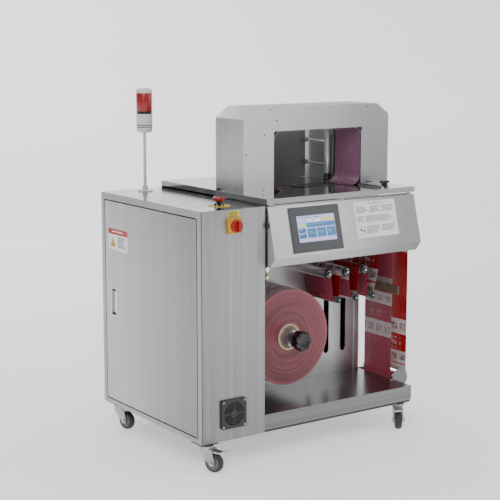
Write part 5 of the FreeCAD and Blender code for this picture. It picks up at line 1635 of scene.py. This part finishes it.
@dataclass
class Panel:
    """The sloping panel with its touch screen and instruction sheet.

    Args:
        top: The face's upper edge, as y and z.
        knee: Its lower edge, as y and z.
        screen_x: The touch panel's left edge.
        bezel: The touch panel's width and height.
        down: How far the touch panel is down the face.
        glass: The display's width and height.
        glass_down: How far the display is down the face.
    """

    top: Point = (-4.5, 749.0)
    knee: Point = (-47.0, 586.0)
    screen_x: float = 330.5
    bezel: Point = (204.0, 150.0)
    down: float = 9.0
    glass: Point = (155.0, 87.0)
    glass_down: float = 39.0

    def lie(self) -> Matrix:
        """Carry x across, y out of the face (towards minus) and z up the face to the row frame."""
        lean = math.atan2(self.top[0] - self.knee[0], self.top[1] - self.knee[1])
        return Matrix.Translation(DATUM.at(0, *self.top)) @ Matrix.Rotation(-lean, 4, "X")

    def patch(self, form: Form, left: float, down: float, wide: float, high: float, near: float, far: float,
              slot: int) -> None:
        """Add a block on the face, between two distances in front of it."""
        form.block(Vector((left, -far, -down - high)) * MM, Vector((left + wide, -near, -down)) * MM, slot,
                   self.lie())

    def touch_panel(self) -> None:
        """Build the bezel, the display and its generic layout."""
        left, (wide, high) = self.screen_x, self.bezel
        case = Form()
        self.patch(case, left, self.down, wide, high, -24.0, 5.6, 0)
        grey = Moulded("bezel_grey", (0.070, 0.075, 0.080), 0.36, 0.12)
        case.build("touch_case", [grey], "panel", edge=2.2, replaces=("hmi_unit",), slot="grey_bezel")
        rim = Form()
        glass_left = left + (wide - self.glass[0]) / 2
        self.patch(rim, glass_left - 3, self.glass_down - 3, self.glass[0] + 6, self.glass[1] + 6, 5.4, 5.75,
                   0)
        self.patch(rim, left + wide - 34, self.down + high - 14, 20, 2.6, 5.4, 5.7, 1)
        self.patch(rim, left + 14, self.down + 10, 12, 2.2, 5.4, 5.7, 1)
        rim.build("touch_rim", [Moulded("rim_dark", (0.035, 0.038, 0.042), 0.2, 0.0, 0.5), INK], "panel",
                  edge=0.2)
        form = Form()
        lavender, white, yellow, blue, deep, green, band, mark = range(8)
        layout = [(0, 0, 1, 1, lavender, 0), (0.02, 0.03, 0.96, 0.10, band, 0.02),
                  (0.02, 0.16, 0.20, 0.08, band, 0.04), (0.26, 0.15, 0.14, 0.10, white, 0.04),
                  (0.46, 0.15, 0.16, 0.10, white, 0.04), (0.68, 0.12, 0.14, 0.13, yellow, 0.04),
                  (0.84, 0.12, 0.15, 0.13, yellow, 0.04), (0.02, 0.29, 0.20, 0.15, green, 0.04),
                  (0.24, 0.28, 0.75, 0.17, blue, 0.04), (0.02, 0.49, 0.18, 0.15, deep, 0.04),
                  (0.02, 0.69, 0.18, 0.15, deep, 0.04), (0.24, 0.50, 0.23, 0.34, blue, 0.04),
                  (0.50, 0.50, 0.23, 0.34, blue, 0.04), (0.76, 0.50, 0.23, 0.34, blue, 0.04),
                  (0.02, 0.89, 0.96, 0.07, band, 0.02)]
        for x, down, w, h, slot, lift in layout:
            self.patch(form, glass_left + x * self.glass[0], self.glass_down + down * self.glass[1],
                       w * self.glass[0], h * self.glass[1], 5.6, 5.85 + lift, slot)
        out = (self.lie().to_3x3() @ Vector((0, -1, 0))) * 0.00008
        across, drop = Vector((1, 0, 0)), self.lie().to_3x3() @ Vector((0, 0, -1))
        for x, down, w, rows, slot in ((0.28, 0.33, 0.62, 1, mark), (0.27, 0.60, 0.16, 2, mark),
                                       (0.53, 0.60, 0.16, 2, mark), (0.79, 0.60, 0.16, 2, mark),
                                       (0.04, 0.06, 0.80, 1, blue), (0.04, 0.53, 0.13, 1, mark),
                                       (0.04, 0.73, 0.13, 1, mark), (0.04, 0.33, 0.14, 1, white)):
            corner = self.lie() @ (Vector((glass_left + x * self.glass[0], -5.95,
                                           -self.glass_down - down * self.glass[1])) * MM)
            bars(form, corner, across, drop, rows, w * self.glass[0], 5.0, int(x * 100 + down * 10), slot,
                 out)
        shades = [("screen_lavender", (0.50, 0.50, 0.82)), ("screen_white", (0.90, 0.91, 0.95)),
                  ("screen_yellow", (0.72, 0.72, 0.20)), ("screen_blue", (0.045, 0.20, 0.40)),
                  ("screen_deep", (0.030, 0.15, 0.34)), ("screen_green", (0.42, 0.76, 0.33)),
                  ("screen_band", (0.62, 0.62, 0.90)), ("screen_mark", (0.22, 0.42, 0.62))]
        form.build("touch_display", [Screen(name, colour) for name, colour in shades], "panel")

    def sheet(self) -> None:
        """Stick on the instruction sheet: a white sheet with blocks of small print."""
        form = Form()
        left, down, wide, high = 603.0, 10.0, 181.0, 123.0
        self.patch(form, left, down, wide, high, -0.1, 0.30, 0)
        lie = self.lie()
        across, drop = Vector((1, 0, 0)), lie.to_3x3() @ Vector((0, 0, -1))
        out = (lie.to_3x3() @ Vector((0, -1, 0))) * 0.0001
        blocks = [(62, 6, 60, 1, 5.0), (8, 18, 52, 5, 4.4), (68, 18, 48, 5, 4.4), (122, 18, 50, 5, 4.4),
                  (8, 50, 30, 5, 4.4), (44, 50, 128, 5, 4.4), (44, 84, 60, 6, 4.4), (110, 84, 62, 5, 4.4)]
        for number, (x, z, w, rows, pitch) in enumerate(blocks):
            corner = lie @ (Vector((left + x, -0.36, -down - z)) * MM)
            bars(form, corner, across, drop, rows, w, pitch, 20 + number, 1, out)
        x, z, w, h = 8, 84, 30, 26
        for dx, dz, bw, bh in ((0, 0, w, 0.8), (0, h, w, 0.8), (0, 0, 0.8, h), (w, 0, 0.8, h + 0.8),
                               (6, 8, 10, 7), (19, 12, 7, 9)):
            self.patch(form, left + x + dx, down + z + dz, bw, bh, 0.2, 0.4, 1)
        form.build("instruction_sheet", [PAPER, Moulded("faint_ink", (0.16, 0.16, 0.17), 0.6, 0.02)], "panel")

    def build(self) -> None:
        """Dress the panel."""
        # Painted light and shade: the panel's face darkens from left to right.
        low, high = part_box("control_panel")
        dress("control_panel", Steel("panel_steel", (0.62, 0.623, 0.635), streak=0.03, rough=0.33,
                                     painted_light_run=(Along.X, low.x, high.x, 1.12, 0.36)))
        dress("panel_lock_knob", BLACK)
        self.touch_panel()
        self.sheet()


def main() -> None:
    """Build the scene and log the name of each part as it is built."""
    logging.basicConfig(level=logging.INFO, format="%(message)s")
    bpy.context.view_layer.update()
    casters = [Caster(name) for name in ("front_left", "front_right", "rear_left", "rear_right")]
    for made in (Studio(), Cabinet(), Fittings(), *casters, Reel(), FilmPath(), Rollers(), Bay(), Table(),
                 Arch(), Fence(), Panel()):
        made.build()
        LOG.info("built %s", type(made).__name__)


if __name__ == "__main__":
    main()
